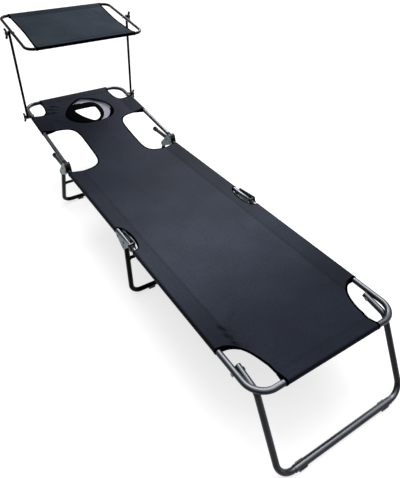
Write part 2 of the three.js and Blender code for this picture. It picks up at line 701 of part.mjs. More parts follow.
// A rivet through the foot rail and the leg beside it
function sideRivet(side, inner, pivot) {
  const head = PIN_HEAD / 2;
  const low = -inner - RUNNING_GAP;
  const high = RAIL_RADIUS + RUNNING_GAP;
  const crown = head * PIN_CROWN_SHARE;
  const edge = PIN_HEAD_HEIGHT * PIN_EDGE_SHARE;
  const rivet = turnedAlongX([
    [0, low - PIN_HEAD_HEIGHT], [crown, low - PIN_HEAD_HEIGHT], [head, low - edge], [head, low],
    [LEG_PIN / 2, low], [LEG_PIN / 2, high],
    [head, high], [head, high + edge], [crown, high + PIN_HEAD_HEIGHT], [0, high + PIN_HEAD_HEIGHT],
  ], PIN_SIDES);
  const turned = side > 0 ? rivet : rivet.rotate([0, 0, 180]);
  return turned.translate([side * RAIL_X, pivot.y, pivot.z]);
}

// The plug in the open upper end of a foot leg
function stubPlug(x, stub) {
  const spigot = PLUG_BORE / 2 - RUNNING_GAP;
  const plug = turnedAlongX([
    [0, -PLUG_SPIGOT], [spigot, -PLUG_SPIGOT], [spigot, RUNNING_GAP],
    [LEG_RADIUS, RUNNING_GAP], [LEG_RADIUS, PLUG_FLANGE / 2],
    [LEG_RADIUS * PLUG_CROWN_SHARE, PLUG_FLANGE], [0, PLUG_FLANGE],
  ], SLIM_SIDES);
  const degrees = THREE.MathUtils.radToDeg(FOOT_LEG_ARM_SLOPE);
  return plug.rotate([0, 0, 90]).rotate([degrees, 0, 0]).translate([x, stub.y, stub.z]);
}

// Fabric

// Points of a pocket in section: cloth that runs from a seam over a round tube and back under it
function pocketPoints(tubeX, side, radius, seamX, seamHalf) {
  const span = Math.abs(tubeX - seamX);
  const reach = Math.hypot(span, seamHalf);
  const start = Math.PI - Math.atan2(seamHalf, span) - Math.acos(radius / reach);
  const points = [new THREE.Vector2(seamX, seamHalf)];
  for (let i = 0; i <= POCKET_STEPS; i++) {
    const angle = start - 2 * start * i / POCKET_STEPS;
    points.push(new THREE.Vector2(tubeX + side * radius * Math.cos(angle), radius * Math.sin(angle)));
  }
  points.push(new THREE.Vector2(seamX, -seamHalf));
  return points;
}

// A fabric panel in section: a sheet with a pocket for a tube at both edges
function pocketedSection(tubeX, radius, seamInset, cloth) {
  const outer = radius + RUNNING_GAP + cloth;
  const right = pocketPoints(tubeX, 1, outer, tubeX - seamInset, cloth / 2);
  const left = pocketPoints(-tubeX, -1, outer, seamInset - tubeX, cloth / 2).reverse();
  return new THREE.Shape([...right, ...left]);
}

// The room inside one pocket, for the tube
function pocketRoom(tubeX, side, radius, seamInset, cloth) {
  const seamX = tubeX - side * (seamInset - 2 * cloth);
  return new THREE.Shape(pocketPoints(tubeX, side, radius + RUNNING_GAP, seamX, cloth / 4));
}

// A pocket along X at an end bar
function endPocket(barY, side, radius, seamInset, cloth, halfWidth) {
  const outer = radius + RUNNING_GAP + cloth;
  const wall = new THREE.Shape(pocketPoints(barY, side, outer, barY - side * seamInset, cloth / 2));
  const room = pocketRoom(barY, side, radius, seamInset, cloth);
  return {
    wall: slabAcross(wall, -halfWidth, halfWidth),
    room: slabAcross(room, -halfWidth - CUT_OVERRUN, halfWidth + CUT_OVERRUN),
  };
}

// An oval that is as wide as halfWidth at its centre, and reaches further up than down or less: the
// exponents say how square its upper and lower ends are, and 2 is an ellipse
function ovalPoints(x, y, halfWidth, up, down, upExponent, downExponent, steps) {
  return Array.from({ length: steps }, (_, i) => {
    const angle = 2 * Math.PI * i / steps;
    const cosine = Math.cos(angle);
    const sine = Math.sin(angle);
    const power = 2 / (sine > 0 ? upExponent : downExponent);
    return new THREE.Vector2(
      x + Math.sign(cosine) * halfWidth * Math.abs(cosine) ** power,
      y + Math.sign(sine) * (sine > 0 ? up : down) * Math.abs(sine) ** power,
    );
  });
}

const oval = (...sizes) => new THREE.Shape(ovalPoints(...sizes, CUT_STEPS));
const clothCut = (shape) => slabUp(shape, -2 * CUT_OVERRUN, 2 * CUT_OVERRUN);

// The crescent that leaves a fold hinge bare
function hingeCut(side) {
  const half = HINGE_CUT_LENGTH / 2;
  return clothCut(oval(
    side * RAIL_X, FOLD_Y + HINGE_CUT_OFFSET, HINGE_CUT_DEPTH, half, half,
    HINGE_CUT_EXPONENT, HINGE_CUT_EXPONENT,
  ));
}

// The arm opening, which crosses the head hinge: its places run from the hinge pin
function armCut(side, pinY) {
  return clothCut(oval(
    side * RAIL_X, pinY + ARM_CUT_WIDEST, ARM_CUT_INSET, ARM_CUT_UP, ARM_CUT_DOWN,
    ARM_CUT_UP_EXPONENT, ARM_CUT_DOWN_EXPONENT,
  ));
}

const PANEL_SECTION = pocketedSection(RAIL_X, RAIL_RADIUS, SEAM_INSET, CLOTH);
const railRooms = (fromY, toY) => SIDES.map(([, side]) => slabAlong(
  pocketRoom(side * RAIL_X, side, RAIL_RADIUS, SEAM_INSET, CLOTH),
  fromY - CUT_OVERRUN, toY + CUT_OVERRUN,
));

function buildFootFabric() {
  const end = FOLD_Y - TONGUE_GAP / 2;
  const halfWidth = RAIL_X - CORNER_CUT_INSET + CUT_OVERRUN;
  const pocket = endPocket(0, -1, RAIL_RADIUS, END_SEAM_INSET, CLOTH, halfWidth);
  const panel = slabAlong(PANEL_SECTION, END_SEAM_INSET / 2, end).add(pocket.wall);
  const tools = [
    ...railRooms(0, end), pocket.room,
    ...SIDES.map(([, side]) => clothCut(oval(
      side * RAIL_X, 0, CORNER_CUT_INSET, CORNER_CUT_LENGTH, CORNER_CUT_LENGTH,
      CORNER_CUT_EXPONENT, CORNER_CUT_EXPONENT,
    ))),
    ...SIDES.map(([, side]) => hingeCut(side)),
  ];
  addPiece(foot, 'foot_fabric', cut(panel, tools), FABRIC);
}

// The tongue between the arm openings rises in one plane from the middle rails to the head rails
const ARM_CUT_BELOW = ARM_CUT_DOWN - ARM_CUT_WIDEST;
const ARM_CUT_ABOVE = ARM_CUT_UP + ARM_CUT_WIDEST;
const TONGUE_FOOT = at(0, HEAD_Y - ARM_CUT_BELOW, 0);
const TONGUE_HEAD = at(
  0, HEAD_Y + ARM_CUT_ABOVE * Math.cos(HEAD_TILT), HEAD_RISE + ARM_CUT_ABOVE * Math.sin(HEAD_TILT),
);
const TONGUE_SLOPE = Math.atan2(TONGUE_HEAD.z - TONGUE_FOOT.z, TONGUE_HEAD.y - TONGUE_FOOT.y);
const tongueZ = (y) => (y - TONGUE_FOOT.y) * Math.tan(TONGUE_SLOPE);

// A sheet in the plane of the tongue between two places along it, as wide as the tongue's cut leaves it
function slopingSheet(from, to) {
  const half = CLOTH / 2;
  const shape = new THREE.Shape([
    new THREE.Vector2(from.x, from.y - half), new THREE.Vector2(to.x, to.y - half),
    new THREE.Vector2(to.x, to.y + half), new THREE.Vector2(from.x, from.y + half),
  ]);
  return slabAcross(shape, CUT_OVERRUN - RAIL_X, RAIL_X - CUT_OVERRUN);
}

function buildMiddleFabric() {
  const start = FOLD_Y + TONGUE_GAP / 2;
  const end = HEAD_Y - TONGUE_GAP / 2;
  const bend = TONGUE_FOOT.y;
  const flat = slabAlong(PANEL_SECTION, start, bend);
  const tongue = slopingSheet(new THREE.Vector2(bend - CLOTH, 0), new THREE.Vector2(end, tongueZ(end)));
  const tools = [
    ...railRooms(start, end),
    ...SIDES.map(([, side]) => hingeCut(side)),
    ...SIDES.map(([, side]) => armCut(side, HEAD_Y)),
  ];
  addPiece(middle, 'mid_fabric', cut(flat.add(tongue), tools), FABRIC);
}

function buildHeadFabric() {
  const halfWidth = RAIL_X - HEAD_CORNER_CUT_INSET + CUT_OVERRUN;
  const pocket = endPocket(HEAD_LENGTH, 1, RAIL_RADIUS, END_SEAM_INSET, CLOTH, halfWidth);
  const bend = ARM_CUT_ABOVE;
  const flat = slabAlong(PANEL_SECTION, bend, HEAD_LENGTH - END_SEAM_INSET / 2).add(pocket.wall);
  const start = TONGUE_GAP / 2;
  const toHead = (y, z) => new THREE.Vector2(
    (y - HEAD_Y) * Math.cos(HEAD_TILT) + (z - HEAD_RISE) * Math.sin(HEAD_TILT),
    (z - HEAD_RISE) * Math.cos(HEAD_TILT) - (y - HEAD_Y) * Math.sin(HEAD_TILT),
  );
  const from = toHead(HEAD_Y + start, tongueZ(HEAD_Y + start));
  const tongue = slopingSheet(from, new THREE.Vector2(bend + CLOTH, 0));
  const hole = oval(
    FACE_HOLE_SHIFT, FACE_HOLE_WIDEST, FACE_HOLE_HALF_WIDTH, FACE_HOLE_UP, FACE_HOLE_DOWN,
    FACE_HOLE_UP_EXPONENT, FACE_HOLE_DOWN_EXPONENT,
  );
  const tools = [
    ...railRooms(0, HEAD_LENGTH), pocket.room,
    clothCut(hole),
    ...SIDES.map(([, side]) => armCut(side, 0)),
    ...SIDES.map(([, side]) => clothCut(oval(
      side * RAIL_X, HEAD_LENGTH, HEAD_CORNER_CUT_INSET, HEAD_CORNER_CUT_LENGTH, HEAD_CORNER_CUT_LENGTH,
      HEAD_CORNER_CUT_EXPONENT, HEAD_CORNER_CUT_EXPONENT,
    ))),
  ];
  addPiece(head, 'head_fabric', cut(flat.add(tongue), tools), FABRIC);
}

// The soft pad sewn under the face opening: a ring whose section swells from inside to outside
function buildFacePad() {
  const outer = ovalPoints(
    FACE_PAD_SHIFT, FACE_PAD_WIDEST, FACE_PAD_HALF_WIDTH, FACE_PAD_REACH, FACE_PAD_REACH,
    FACE_PAD_EXPONENT, FACE_PAD_EXPONENT, PAD_STEPS,
  );
  const inner = ovalPoints(
    FACE_PAD_OPENING_SHIFT, FACE_PAD_OPENING_WIDEST, FACE_PAD_OPENING_HALF_WIDTH, FACE_PAD_OPENING_UP,
    FACE_PAD_OPENING_DOWN, FACE_PAD_OPENING_UP_EXPONENT, FACE_PAD_OPENING_DOWN_EXPONENT, PAD_STEPS,
  );
  const half = FACE_PAD_THICKNESS / 2;
  const level = -CLOTH / 2 - RUNNING_GAP - half;
  const profile = ovalPoints(
    0, 0, 1, half, half, FACE_PAD_SECTION_EXPONENT, FACE_PAD_SECTION_EXPONENT, PAD_SECTION_STEPS,
  );
  const rings = outer.map((edge, i) => profile.map(({ x: share, y: height }) => {
    const place = inner[i].clone().lerp(edge, (1 + share) / 2);
    return at(place.x, place.y, level + height);
  }));
  addPiece(head, 'face_pad', solidOf(closedLoft(rings)), PAD_CLOTH);
}

// A closed skin through rings of points that themselves run round in a ring
function closedLoft(rings) {
  const count = rings[0].length;
  const indices = [];
  rings.forEach((_, i) => {
    const next = (i + 1) % rings.length;
    for (let j = 0; j < count; j++) {
      const after = (j + 1) % count;
      const [a, b, c, d] = [i * count + j, next * count + j, next * count + after, i * count + after];
      indices.push(a, b, c, a, c, d);
    }
  });
  const geometry = new THREE.BufferGeometry().setFromPoints(rings.flat());
  geometry.setIndex(indices);
  return geometry;
}

// Canopy

function buildPosts() {
  for (const [label, side] of SIDES) {
    const x = side * POST_X;
    const ends = [at(x, 0, -POST_END), at(x, 0, POST_LENGTH + POST_END)];
    const body = tube(ends, [], POST_TUBE, SLIM_SIDES);
    const holes = [0, POST_LENGTH].map((z) => roundAlongX(
      BOLT + 2 * RUNNING_GAP, x - CUT_OVERRUN, x + CUT_OVERRUN, 0, z, SLIM_SIDES,
    ));
    addPiece(posts, `canopy_post_${label}`, cut(body, holes), DARK_STEEL);
    const railFace = RAIL_X - RAIL_RADIUS - RUNNING_GAP;
    const canopyFace = CANOPY_X - CANOPY_TUBE / 2 - RUNNING_GAP;
    const railBolt = clampBolt(side, railFace).translate([0, POST_FROM_PIN, 0]);
    addPiece(head, `post_bolt_${label}`, railBolt, ZINC);
    const canopyBolt = clampBolt(side, canopyFace).translate([0, 0, POST_LENGTH]);
    addPiece(posts, `canopy_bolt_${label}`, canopyBolt, ZINC);
  }
}

// A bolt that enters from the bed's side and ends inside the wing knob
function clampBolt(side, headX) {
  const end = POST_X + POST_TUBE / 2 + RUNNING_GAP + KNOB_BORE_DEPTH - 2 * RUNNING_GAP;
  const head = BOLT_HEAD / 2;
  const top = headX - BOLT_HEAD_HEIGHT;
  const bolt = turnedAlongX([
    [0, top], [head * BOLT_CROWN_SHARE, top], [head, headX - BOLT_HEAD_HEIGHT / 2],
    [head, headX], [BOLT / 2, headX], [BOLT / 2, end], [0, end],
  ], SLIM_SIDES);
  return side > 0 ? bolt : bolt.rotate([0, 0, 180]);
}

function buildClampSaddles() {
  for (const [label, side] of SIDES) {
    const inner = side * (RAIL_X + RAIL_RADIUS / 2);
    const outer = side * (RAIL_X + RAIL_RADIUS + CLAMP_GAP - SIDE_GAP);
    const halfLength = CLAMP_LENGTH / 2;
    const halfHeight = CLAMP_HEIGHT / 2;
    const shape = roundedRectangle(
      POST_FROM_PIN - halfLength, -halfHeight, POST_FROM_PIN + halfLength, halfHeight, CLAMP_GAP,
    );
    const block = slabAcross(shape, inner, outer);
    const groove = slabAlong(
      circle(RAIL_RADIUS + RUNNING_GAP, side * RAIL_X, 0),
      POST_FROM_PIN - CLAMP_LENGTH, POST_FROM_PIN + CLAMP_LENGTH, TUBE_SIDES / 2,
    );
    const hole = roundAlongX(
      BOLT + 2 * RUNNING_GAP, inner - side * CUT_OVERRUN, outer + side * CUT_OVERRUN,
      POST_FROM_PIN, 0, SLIM_SIDES,
    );
    addPiece(head, `post_saddle_${label}`, cut(block, [groove, hole]), PLASTIC);
  }
}

// A butterfly knob: a turned hub with two rounded wings, bored for its bolt
function wingKnob(side) {
  const hub = KNOB_HUB / 2;
  const body = turnedAlongX([
    [0, 0], [hub, 0], [hub, KNOB_HUB_LENGTH * KNOB_SHOULDER_SHARE],
    [hub * KNOB_SHOULDER_SHARE, KNOB_HUB_LENGTH], [0, KNOB_HUB_LENGTH],
  ], SLIM_SIDES);
  const root = KNOB_WING_ROOT / 2;
  const tip = KNOB_WING_TIP / 2;
  const reach = KNOB_SPAN / 2 - tip;
  const wings = [-1, 1].map((way) => {
    const shape = wrapped([[hub / 2, root, root], [reach, KNOB_WING_RISE, tip]]);
    const geometry = new THREE.ExtrudeGeometry(shape, {
      depth: KNOB_WING_THICKNESS, bevelEnabled: false, curveSegments: KNOB_ARC_STEPS,
    });
    geometry.translate(0, 0, -KNOB_WING_THICKNESS / 2);
    geometry.applyMatrix4(new THREE.Matrix4().makeBasis(at(0, 0, 1), at(1, 0, 0), at(0, 1, 0)));
    const wing = solidOf(geometry);
    return way > 0 ? wing : wing.rotate([180, 0, 0]);
  });
  const bore = roundAlongX(BOLT + 2 * RUNNING_GAP, -CUT_OVERRUN, KNOB_BORE_DEPTH, 0, 0, SLIM_SIDES);
  const knob = cut(join([body, ...wings]), [bore]);
  const turned = side > 0 ? knob : knob.rotate([0, 0, 180]);
  return turned.translate([side * (POST_X + POST_TUBE / 2 + RUNNING_GAP), 0, 0]);
}

function buildKnobs() {
  for (const [label, side] of SIDES) {
    addPiece(head, `post_knob_${label}`, wingKnob(side).translate([0, POST_FROM_PIN, 0]), PLASTIC);
    addPiece(posts, `canopy_knob_${label}`, wingKnob(side).translate([0, 0, POST_LENGTH]), PLASTIC);
  }
}

function buildCanopy() {
  const halfLength = CANOPY_LENGTH / 2;
  const halves = [-1, 1].map((way) => tube([
    at(-CANOPY_X, -way * RUNNING_GAP, 0), at(-CANOPY_X, way * halfLength, 0),
    at(CANOPY_X, way * halfLength, 0), at(CANOPY_X, -way * RUNNING_GAP, 0),
  ], [CANOPY_CORNER_RADIUS, CANOPY_CORNER_RADIUS], CANOPY_TUBE, SLIM_SIDES));
  const holes = SIDES.map(([, side]) => roundAlongX(
    BOLT + 2 * RUNNING_GAP, side * (CANOPY_X - CUT_OVERRUN), side * (CANOPY_X + CUT_OVERRUN),
    0, 0, SLIM_SIDES,
  ));
  addPiece(canopy, 'canopy_frame', cut(join(halves), holes), DARK_STEEL);
  const halfWidth = CANOPY_X - CANOPY_FABRIC_MARGIN;
  const section = pocketedSection(halfLength, CANOPY_TUBE / 2, CANOPY_SEAM_INSET, CANOPY_CLOTH);
  const rooms = SIDES.map(([, side]) => slabAcross(
    pocketRoom(side * halfLength, side, CANOPY_TUBE / 2, CANOPY_SEAM_INSET, CANOPY_CLOTH),
    -halfWidth - CUT_OVERRUN, halfWidth + CUT_OVERRUN,
  ));
  addPiece(canopy, 'canopy_fabric', cut(slabAcross(section, -halfWidth, halfWidth), rooms), FABRIC);
}

buildMiddleRails();
buildFoldPlates();
buildHeadPlates();
buildPins();
buildMiddleFabric();
buildHungLegs();
buildFootFrame();
buildFoldSaddles();
buildFootFabric();
buildFootLeg();
buildHeadFrame();
buildKnuckles();
buildHeadFabric();
buildFacePad();
buildClampSaddles();
buildPosts();
buildKnobs();
buildCanopy();

// The origin is the centre of the floor area that the lounger covers
lounger.updateMatrixWorld(true);
const reachOf = new THREE.Box3().setFromObject(lounger, true);
lounger.position.set(0, -(reachOf.min.y + reachOf.max.y) / 2, -reachOf.min.z);

export default lounger;
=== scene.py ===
import json
import math

import bmesh
import bpy
import numpy as np
from bpy.props import FloatProperty, FloatVectorProperty, PointerProperty
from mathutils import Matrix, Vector
from mathutils.geometry import delaunay_2d_cdt


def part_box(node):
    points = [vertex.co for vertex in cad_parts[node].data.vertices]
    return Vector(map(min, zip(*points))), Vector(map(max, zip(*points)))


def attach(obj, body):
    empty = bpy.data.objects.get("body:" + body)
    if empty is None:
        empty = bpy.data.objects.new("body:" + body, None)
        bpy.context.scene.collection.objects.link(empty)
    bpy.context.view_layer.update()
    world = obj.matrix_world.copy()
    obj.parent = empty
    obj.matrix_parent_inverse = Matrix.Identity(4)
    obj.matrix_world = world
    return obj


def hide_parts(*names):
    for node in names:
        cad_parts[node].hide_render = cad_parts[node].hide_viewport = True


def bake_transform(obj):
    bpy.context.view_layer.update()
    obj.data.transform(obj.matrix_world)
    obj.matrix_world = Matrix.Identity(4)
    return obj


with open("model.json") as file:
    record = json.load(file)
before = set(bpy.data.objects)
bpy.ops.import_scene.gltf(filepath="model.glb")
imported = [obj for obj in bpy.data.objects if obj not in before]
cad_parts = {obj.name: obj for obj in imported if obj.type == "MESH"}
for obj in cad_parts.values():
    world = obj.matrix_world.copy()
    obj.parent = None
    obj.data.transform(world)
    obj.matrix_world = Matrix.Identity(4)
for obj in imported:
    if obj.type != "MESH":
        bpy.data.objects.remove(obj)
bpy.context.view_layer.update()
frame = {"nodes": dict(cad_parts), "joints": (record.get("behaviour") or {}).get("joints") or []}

bl_info = {
    "name": "Sun lounger with canopy",
    "version": (1, 0, 0),
    "blender": (4, 5, 0),
    "location": "3D View > Sidebar > Lounger",
    "description": "Dresses the frame of a folding sun lounger in cloth, pad and finishes",
    "category": "Object",
}

# Where the frame holds the soft pieces, in metres

JOINTS = {joint["name"]: joint for joint in frame["joints"]}
FOLD_PIN = Vector(JOINTS["foot_fold"]["pos_m"])
HEAD_PIN = Vector(JOINTS["head_recline"]["pos_m"])
CANOPY_PIN = Vector(JOINTS["canopy_tilt"]["pos_m"])
HEAD_TILT = math.radians(7)
CANOPY_TILT = math.radians(8.2)
RAIL_X = 0.265
RAIL_Z = 0.268
RAIL_RADIUS = 0.0095
TUBE_GAP = 0.0003
FOOT_BAR_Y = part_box("foot_frame")[0].y + RAIL_RADIUS
HEAD_LENGTH = 0.585
CANOPY_TUBE_RADIUS = 0.0065
CANOPY_HALF_LENGTH = 0.197
CANOPY_CLOTH_HALF_WIDTH = 0.2306

# The cloth's seams and cut-outs, in metres from the rails' centres and from the bars and pins

SEAM_INSET = 0.057
END_SEAM_INSET = 0.034
CANOPY_SEAM_INSET = 0.030
CORNER_CUT = {"inset": 0.089, "length": 0.172, "exponent": 2.4}
HEAD_CORNER_CUT = {"inset": 0.080, "length": 0.144, "exponent": 4}
HINGE_CUT = {"inset": 0.028, "half": 0.075, "past_pin": 0.041, "exponent": 2}
ARM_CUT = {"inset": 0.150, "before_pin": 0.040, "past_pin": 0.288, "widest": 0.100, "exponent": 5}
FACE_HOLE = {"x": 0.008, "widest": 0.396, "half_width": 0.122, "up": 0.144, "down": 0.102}
FACE_HOLE_EXPONENTS = {"up_left": 1.35, "up_right": 1.85, "down_left": 2.3, "down_right": 2.3}
FACE_HOLE_TURNS = 120
PAD_EDGE = {"x": -0.014, "widest": 0.430, "half_width": 0.102, "up": 0.084, "down": 0.135}
PAD_EDGE_EXPONENTS = {"up_left": 2.6, "up_right": 2.6, "down_left": 2.0, "down_right": 2.0}
PAD_OPENING = {"x": 0.008, "widest": 0.446, "half_width": 0.055, "up": 0.014, "down": 0.130}
PAD_OPENING_EXPONENTS = {"up_left": 3.5, "up_right": 3.5, "down_left": 1.35, "down_right": 1.9}
PAD_HALF = 0.0075
PAD_LEVEL = -0.0116
PAD_TURNS = 96
PAD_SECTION_TURNS = 20
PAD_SECTION_EXPONENT = 2.6
LINING_STEPS = 7
LINING_BELLY = 0.003
# The dark hem round the face opening: narrow all round, and widened on one side as painted shade
HEM_SHADE_WIDTH = 0.016
HEM_LEAST = 0.0015
HEM_FALL = 1.5
HEM_TURN = 0.5
HEM_DROP = 0.002
CLOTH_SPLIT = 0.008

# Fineness

CLOTH_STEP = 0.006
WRAP_STEP = 0.0035
EDGE_STEP = 0.004
WRAP_STEPS = 25
PATH_STEP = 0.005
EASED_STEPS = 8
CLEAR_SHARE = 0.6
GRID_DIGITS = 6
GRID_PARTS = 20
MERGE_REACH = 1e-6
LEAST_AREA = 1e-10
TINY = 1e-9
SIDES = {"left": -1, "right": 1}


# Properties that a user would change


class ClothSizes(bpy.types.PropertyGroup):
    thickness: FloatProperty(
        name="Cloth thickness", description="Thickness of the bed's cloth",
        default=0.0012, unit="LENGTH", precision=4,
    )
    canopy_thickness: FloatProperty(
        name="Canopy cloth", description="Thickness of the canopy's cloth",
        default=0.0010, unit="LENGTH", precision=4,
    )
    sag: FloatProperty(
        name="Sag", description="How far the bed's middle hangs below its seams",
        default=0.006, unit="LENGTH", precision=4,
    )
    tape_width: FloatProperty(
        name="Tape width", description="Width of the binding on every cut edge",
        default=0.0078, unit="LENGTH", precision=4,
    )
    tape_thickness: FloatProperty(
        name="Tape thickness", description="Thickness of the binding over the cloth",
        default=0.0026, unit="LENGTH", precision=4,
    )
    stitch: FloatProperty(
        name="Stitch", description="Length of one stitch",
        default=0.0034, unit="LENGTH", precision=4,
    )
    wrinkle: FloatProperty(
        name="Wrinkle height", description="Height of the puckers at the cut corners",
        default=0.0036, unit="LENGTH", precision=4,
    )


class FinishColours(bpy.types.PropertyGroup):
    cloth: FloatVectorProperty(
        name="Cloth", description="Charcoal of the bed",
        default=(0.0150, 0.0188, 0.0300), subtype="COLOR", size=3, min=0, max=1,
    )
    # The canopy's cloth is the bed's cloth, in a colour of its own that paints its shade
    canopy: FloatVectorProperty(
        name="Canopy cloth", description="Charcoal of the canopy",
        default=(0.019, 0.0235, 0.030), subtype="COLOR", size=3, min=0, max=1,
    )
    lining: FloatVectorProperty(
        name="Lining", description="Pale lilac grey of the lining round the face opening",
        default=(0.28, 0.29, 0.34), subtype="COLOR", size=3, min=0, max=1,
    )
    tape: FloatVectorProperty(
        name="Binding", description="Black of the binding tape and thread",
        default=(0.0008, 0.0008, 0.0011), subtype="COLOR", size=3, min=0, max=1,
    )
    pad: FloatVectorProperty(
        name="Pad cloth", description="Black of the face pad",
        default=(0.0034, 0.0036, 0.0038), subtype="COLOR", size=3, min=0, max=1,
    )
    tube: FloatVectorProperty(
        name="Tube", description="Grey lacquer of the bed's tubes",
        default=(0.145, 0.155, 0.172), subtype="COLOR", size=3, min=0, max=1,
    )
    dark_tube: FloatVectorProperty(
        name="Dark tube", description="Black lacquer of the legs, posts and canopy",
        default=(0.017, 0.0178, 0.019), subtype="COLOR", size=3, min=0, max=1,
    )
    bracket: FloatVectorProperty(
        name="Plates", description="Blue-grey zinc of the hinge plates",
        default=(0.055, 0.080, 0.088), subtype="COLOR", size=3, min=0, max=1,
    )
    hardware: FloatVectorProperty(
        name="Hardware", description="Bright zinc of pins, rivets and bolts",
        default=(0.14, 0.145, 0.15), subtype="COLOR", size=3, min=0, max=1,
    )
    plastic: FloatVectorProperty(
        name="Plastic", description="Black plastic of feet, caps and knobs",
        default=(0.006, 0.006, 0.007), subtype="COLOR", size=3, min=0, max=1,
    )
    floor: FloatVectorProperty(
        name="Floor", description="Pale floor of the stage",
        default=(0.42, 0.42, 0.42), subtype="COLOR", size=3, min=0, max=1,
    )


# Nodes


class Nodes:
    """Builds the nodes of one material, or of the world, with each new node linked from earlier ones."""

    def __init__(self, name, kind="materials"):
        self.owner = getattr(bpy.data, kind).new(name)
        self.owner.use_nodes = True
        self.tree = self.owner.node_tree

    def feed(self, socket, value):
        """Links a socket from an earlier node's, or sets its value."""
        if isinstance(value, bpy.types.NodeSocket):
            self.tree.links.new(value, socket)
        else:
            socket.default_value = value

    def add(self, kind, inputs=None, **settings):
        node = self.tree.nodes.new(kind)
        for key, value in settings.items():
            setattr(node, key, value)
        for key, value in (inputs or {}).items():
            self.feed(node.inputs[key], value)
        return node

    def place(self):
        """Where a point is on its own piece."""
        return self.add("ShaderNodeTexCoord").outputs["Object"]

    def flat_place(self):
        """Where a point is in the flat cloth, in metres."""
        return self.add("ShaderNodeUVMap", uv_map="flat").outputs["UV"]

    def maths(self, operation, first, second=0.0):
        return self.add("ShaderNodeMath", {0: first, 1: second}, operation=operation).outputs[0]

    def mixed(self, values, shares):
        """The sum of several values, each times its share."""
        first, *others = [self.maths("MULTIPLY", value, share) for value, share in zip(values, shares)]
        for other in others:
            first = self.maths("ADD", first, other)
        return first

    def noise(self, place, scale, detail=4.0, roughness=0.55):
        inputs = {"Vector": place, "Scale": scale, "Detail": detail, "Roughness": roughness}
        return self.add("ShaderNodeTexNoise", inputs).outputs["Fac"]

    def cells(self, place, scale):
        return self.add("ShaderNodeTexVoronoi", {"Vector": place, "Scale": scale}).outputs["Distance"]

    def threads(self, place, pitch, direction):
        inputs = {"Vector": place, "Scale": WAVE_PERIOD / pitch, "Distortion": 0.0}
        return self.add("ShaderNodeTexWave", inputs, bands_direction=direction).outputs["Fac"]

    def spread(self, value, to, of=(0.0, 1.0)):
        """The value moved from one range to another, and held inside it."""
        inputs = {"Value": value, "From Min": of[0], "From Max": of[1], "To Min": to[0], "To Max": to[1]}
        return self.add("ShaderNodeMapRange", inputs).outputs["Result"]

    def ramp(self, value, stops):
        """A ramp of colours, each at its place."""
        node = self.add("ShaderNodeValToRGB", {"Fac": value})
        elements = node.color_ramp.elements
        while len(elements) < len(stops):
            elements.new(0.5)
        for element, (place, colour) in zip(elements, stops.items()):
            element.position = place
            element.color = (*colour, 1)
        return node.outputs["Color"]

    def tones(self, value, colour, tones):
        """A ramp of one colour's lighter and darker shades."""
        return self.ramp(value, {place: shade(colour, share) for place, share in tones.items()})

    def scaled(self, paint, share):
        return self.add("ShaderNodeVectorMath", {0: paint, "Scale": share}, operation="SCALE").outputs[0]

    def painted_side_shade(self, paint, rises, least):
        """The paint as it is where the surface faces up or down, and darker on its sides: painted shade."""
        facing = self.add("ShaderNodeTexCoord").outputs["Normal"]
        rise = self.maths("ABSOLUTE", self.add("ShaderNodeSeparateXYZ", {0: facing}).outputs["Z"])
        return self.scaled(paint, self.spread(rise, (least, 1.0), rises))

    def bump(self, height, strength, distance, below=None):
        inputs = {"Height": height, "Strength": strength, "Distance": distance}
        if below is not None:
            inputs["Normal"] = below
        return self.add("ShaderNodeBump", inputs).outputs["Normal"]

    def finish(self, colour, roughness, normal, **fixed):
        inputs = self.tree.nodes["Principled BSDF"].inputs
        for key, value in {"Base_Color": colour, "Roughness": roughness, "Normal": normal, **fixed}.items():
            self.feed(inputs[key.replace("_", " ")], value)
        return self.owner


def shade(colour, share):
    """The colour made lighter or darker by a share."""
    return tuple(min(1.0, channel * share) for channel in colour)


# Finishes: noise as scale, detail and roughness, tones as places and shares, bumps as strength and depth

WAVE_PERIOD = 2 * math.pi / 20
THREAD_PITCH = 0.0011
THREAD_BUMP = (0.35, 0.0003)
CLOTH_PATCHES = (5.0, 5.0)
CLOTH_SLUBS = (420.0, 2.0)
CLOTH_MOTTLE = (130.0, 3.0, 0.7)
CLOTH_SHARES = (0.3, 0.3, 0.3, 0.1)
CLOTH_TONES = {0.32: 0.45, 0.50: 1.0, 0.70: 1.75}
CLOTH_BUMP = (0.12, 0.004)
CLOTH_ROUGH = (0.5, 0.66)
# Painted shade on the sides of cloth: the range of upward facing over which it gives way, and the share of
# colour left where it is full
CLOTH_SHADE_RISES = (0.70, 0.985)
CLOTH_SIDE_SHADE = 0.05
CLOTH_GLOSS = 0.06
SEAM_BLUR = 0.004
POCKET_SHARE = 0.78
# Painted light along the bed: headroom of its colour, each channel's power, the bed's run, and the share of
# colour at places along the run, painted sheen in the middle and painted shade towards the foot and the
# head
PAINTED_LIGHT_SPAN = 2.0
PAINTED_LIGHT_POWERS = (1.0, 0.93, 0.8)
BED_RUN = 1.95
BED_PAINTED_LIGHT = {0.0: 0.60, 0.14: 0.66, 0.23: 1.20, 0.33: 1.70, 0.46: 1.12, 0.62: 0.62, 0.80: 0.74, 1.0: 0.80}
RIB_PITCH = 0.0009
RIB_BUMP = (0.4, 0.0003)
TAPE_WEAR = 90.0
TAPE_TONES = {0.3: 0.6, 0.5: 1.0, 0.85: 2.4}
TAPE_ROUGH = (0.55, 0.8)
LOOPS = 900.0
LOOP_BUMP = (0.4, 0.0004)
NAP = 160.0
NAP_TONES = {0.3: 0.6, 0.5: 1.0, 0.8: 2.0}
NAP_ROUGH = (0.7, 0.9)
PEEL = (700.0, 2.0)
PEEL_BUMP = (0.10, 0.0004)
LACQUER_PATCHES = (9.0, 6.0)
LACQUER_FLAKES = (1600.0, 1.0)
LACQUER_SHARES = (0.6, 0.4)
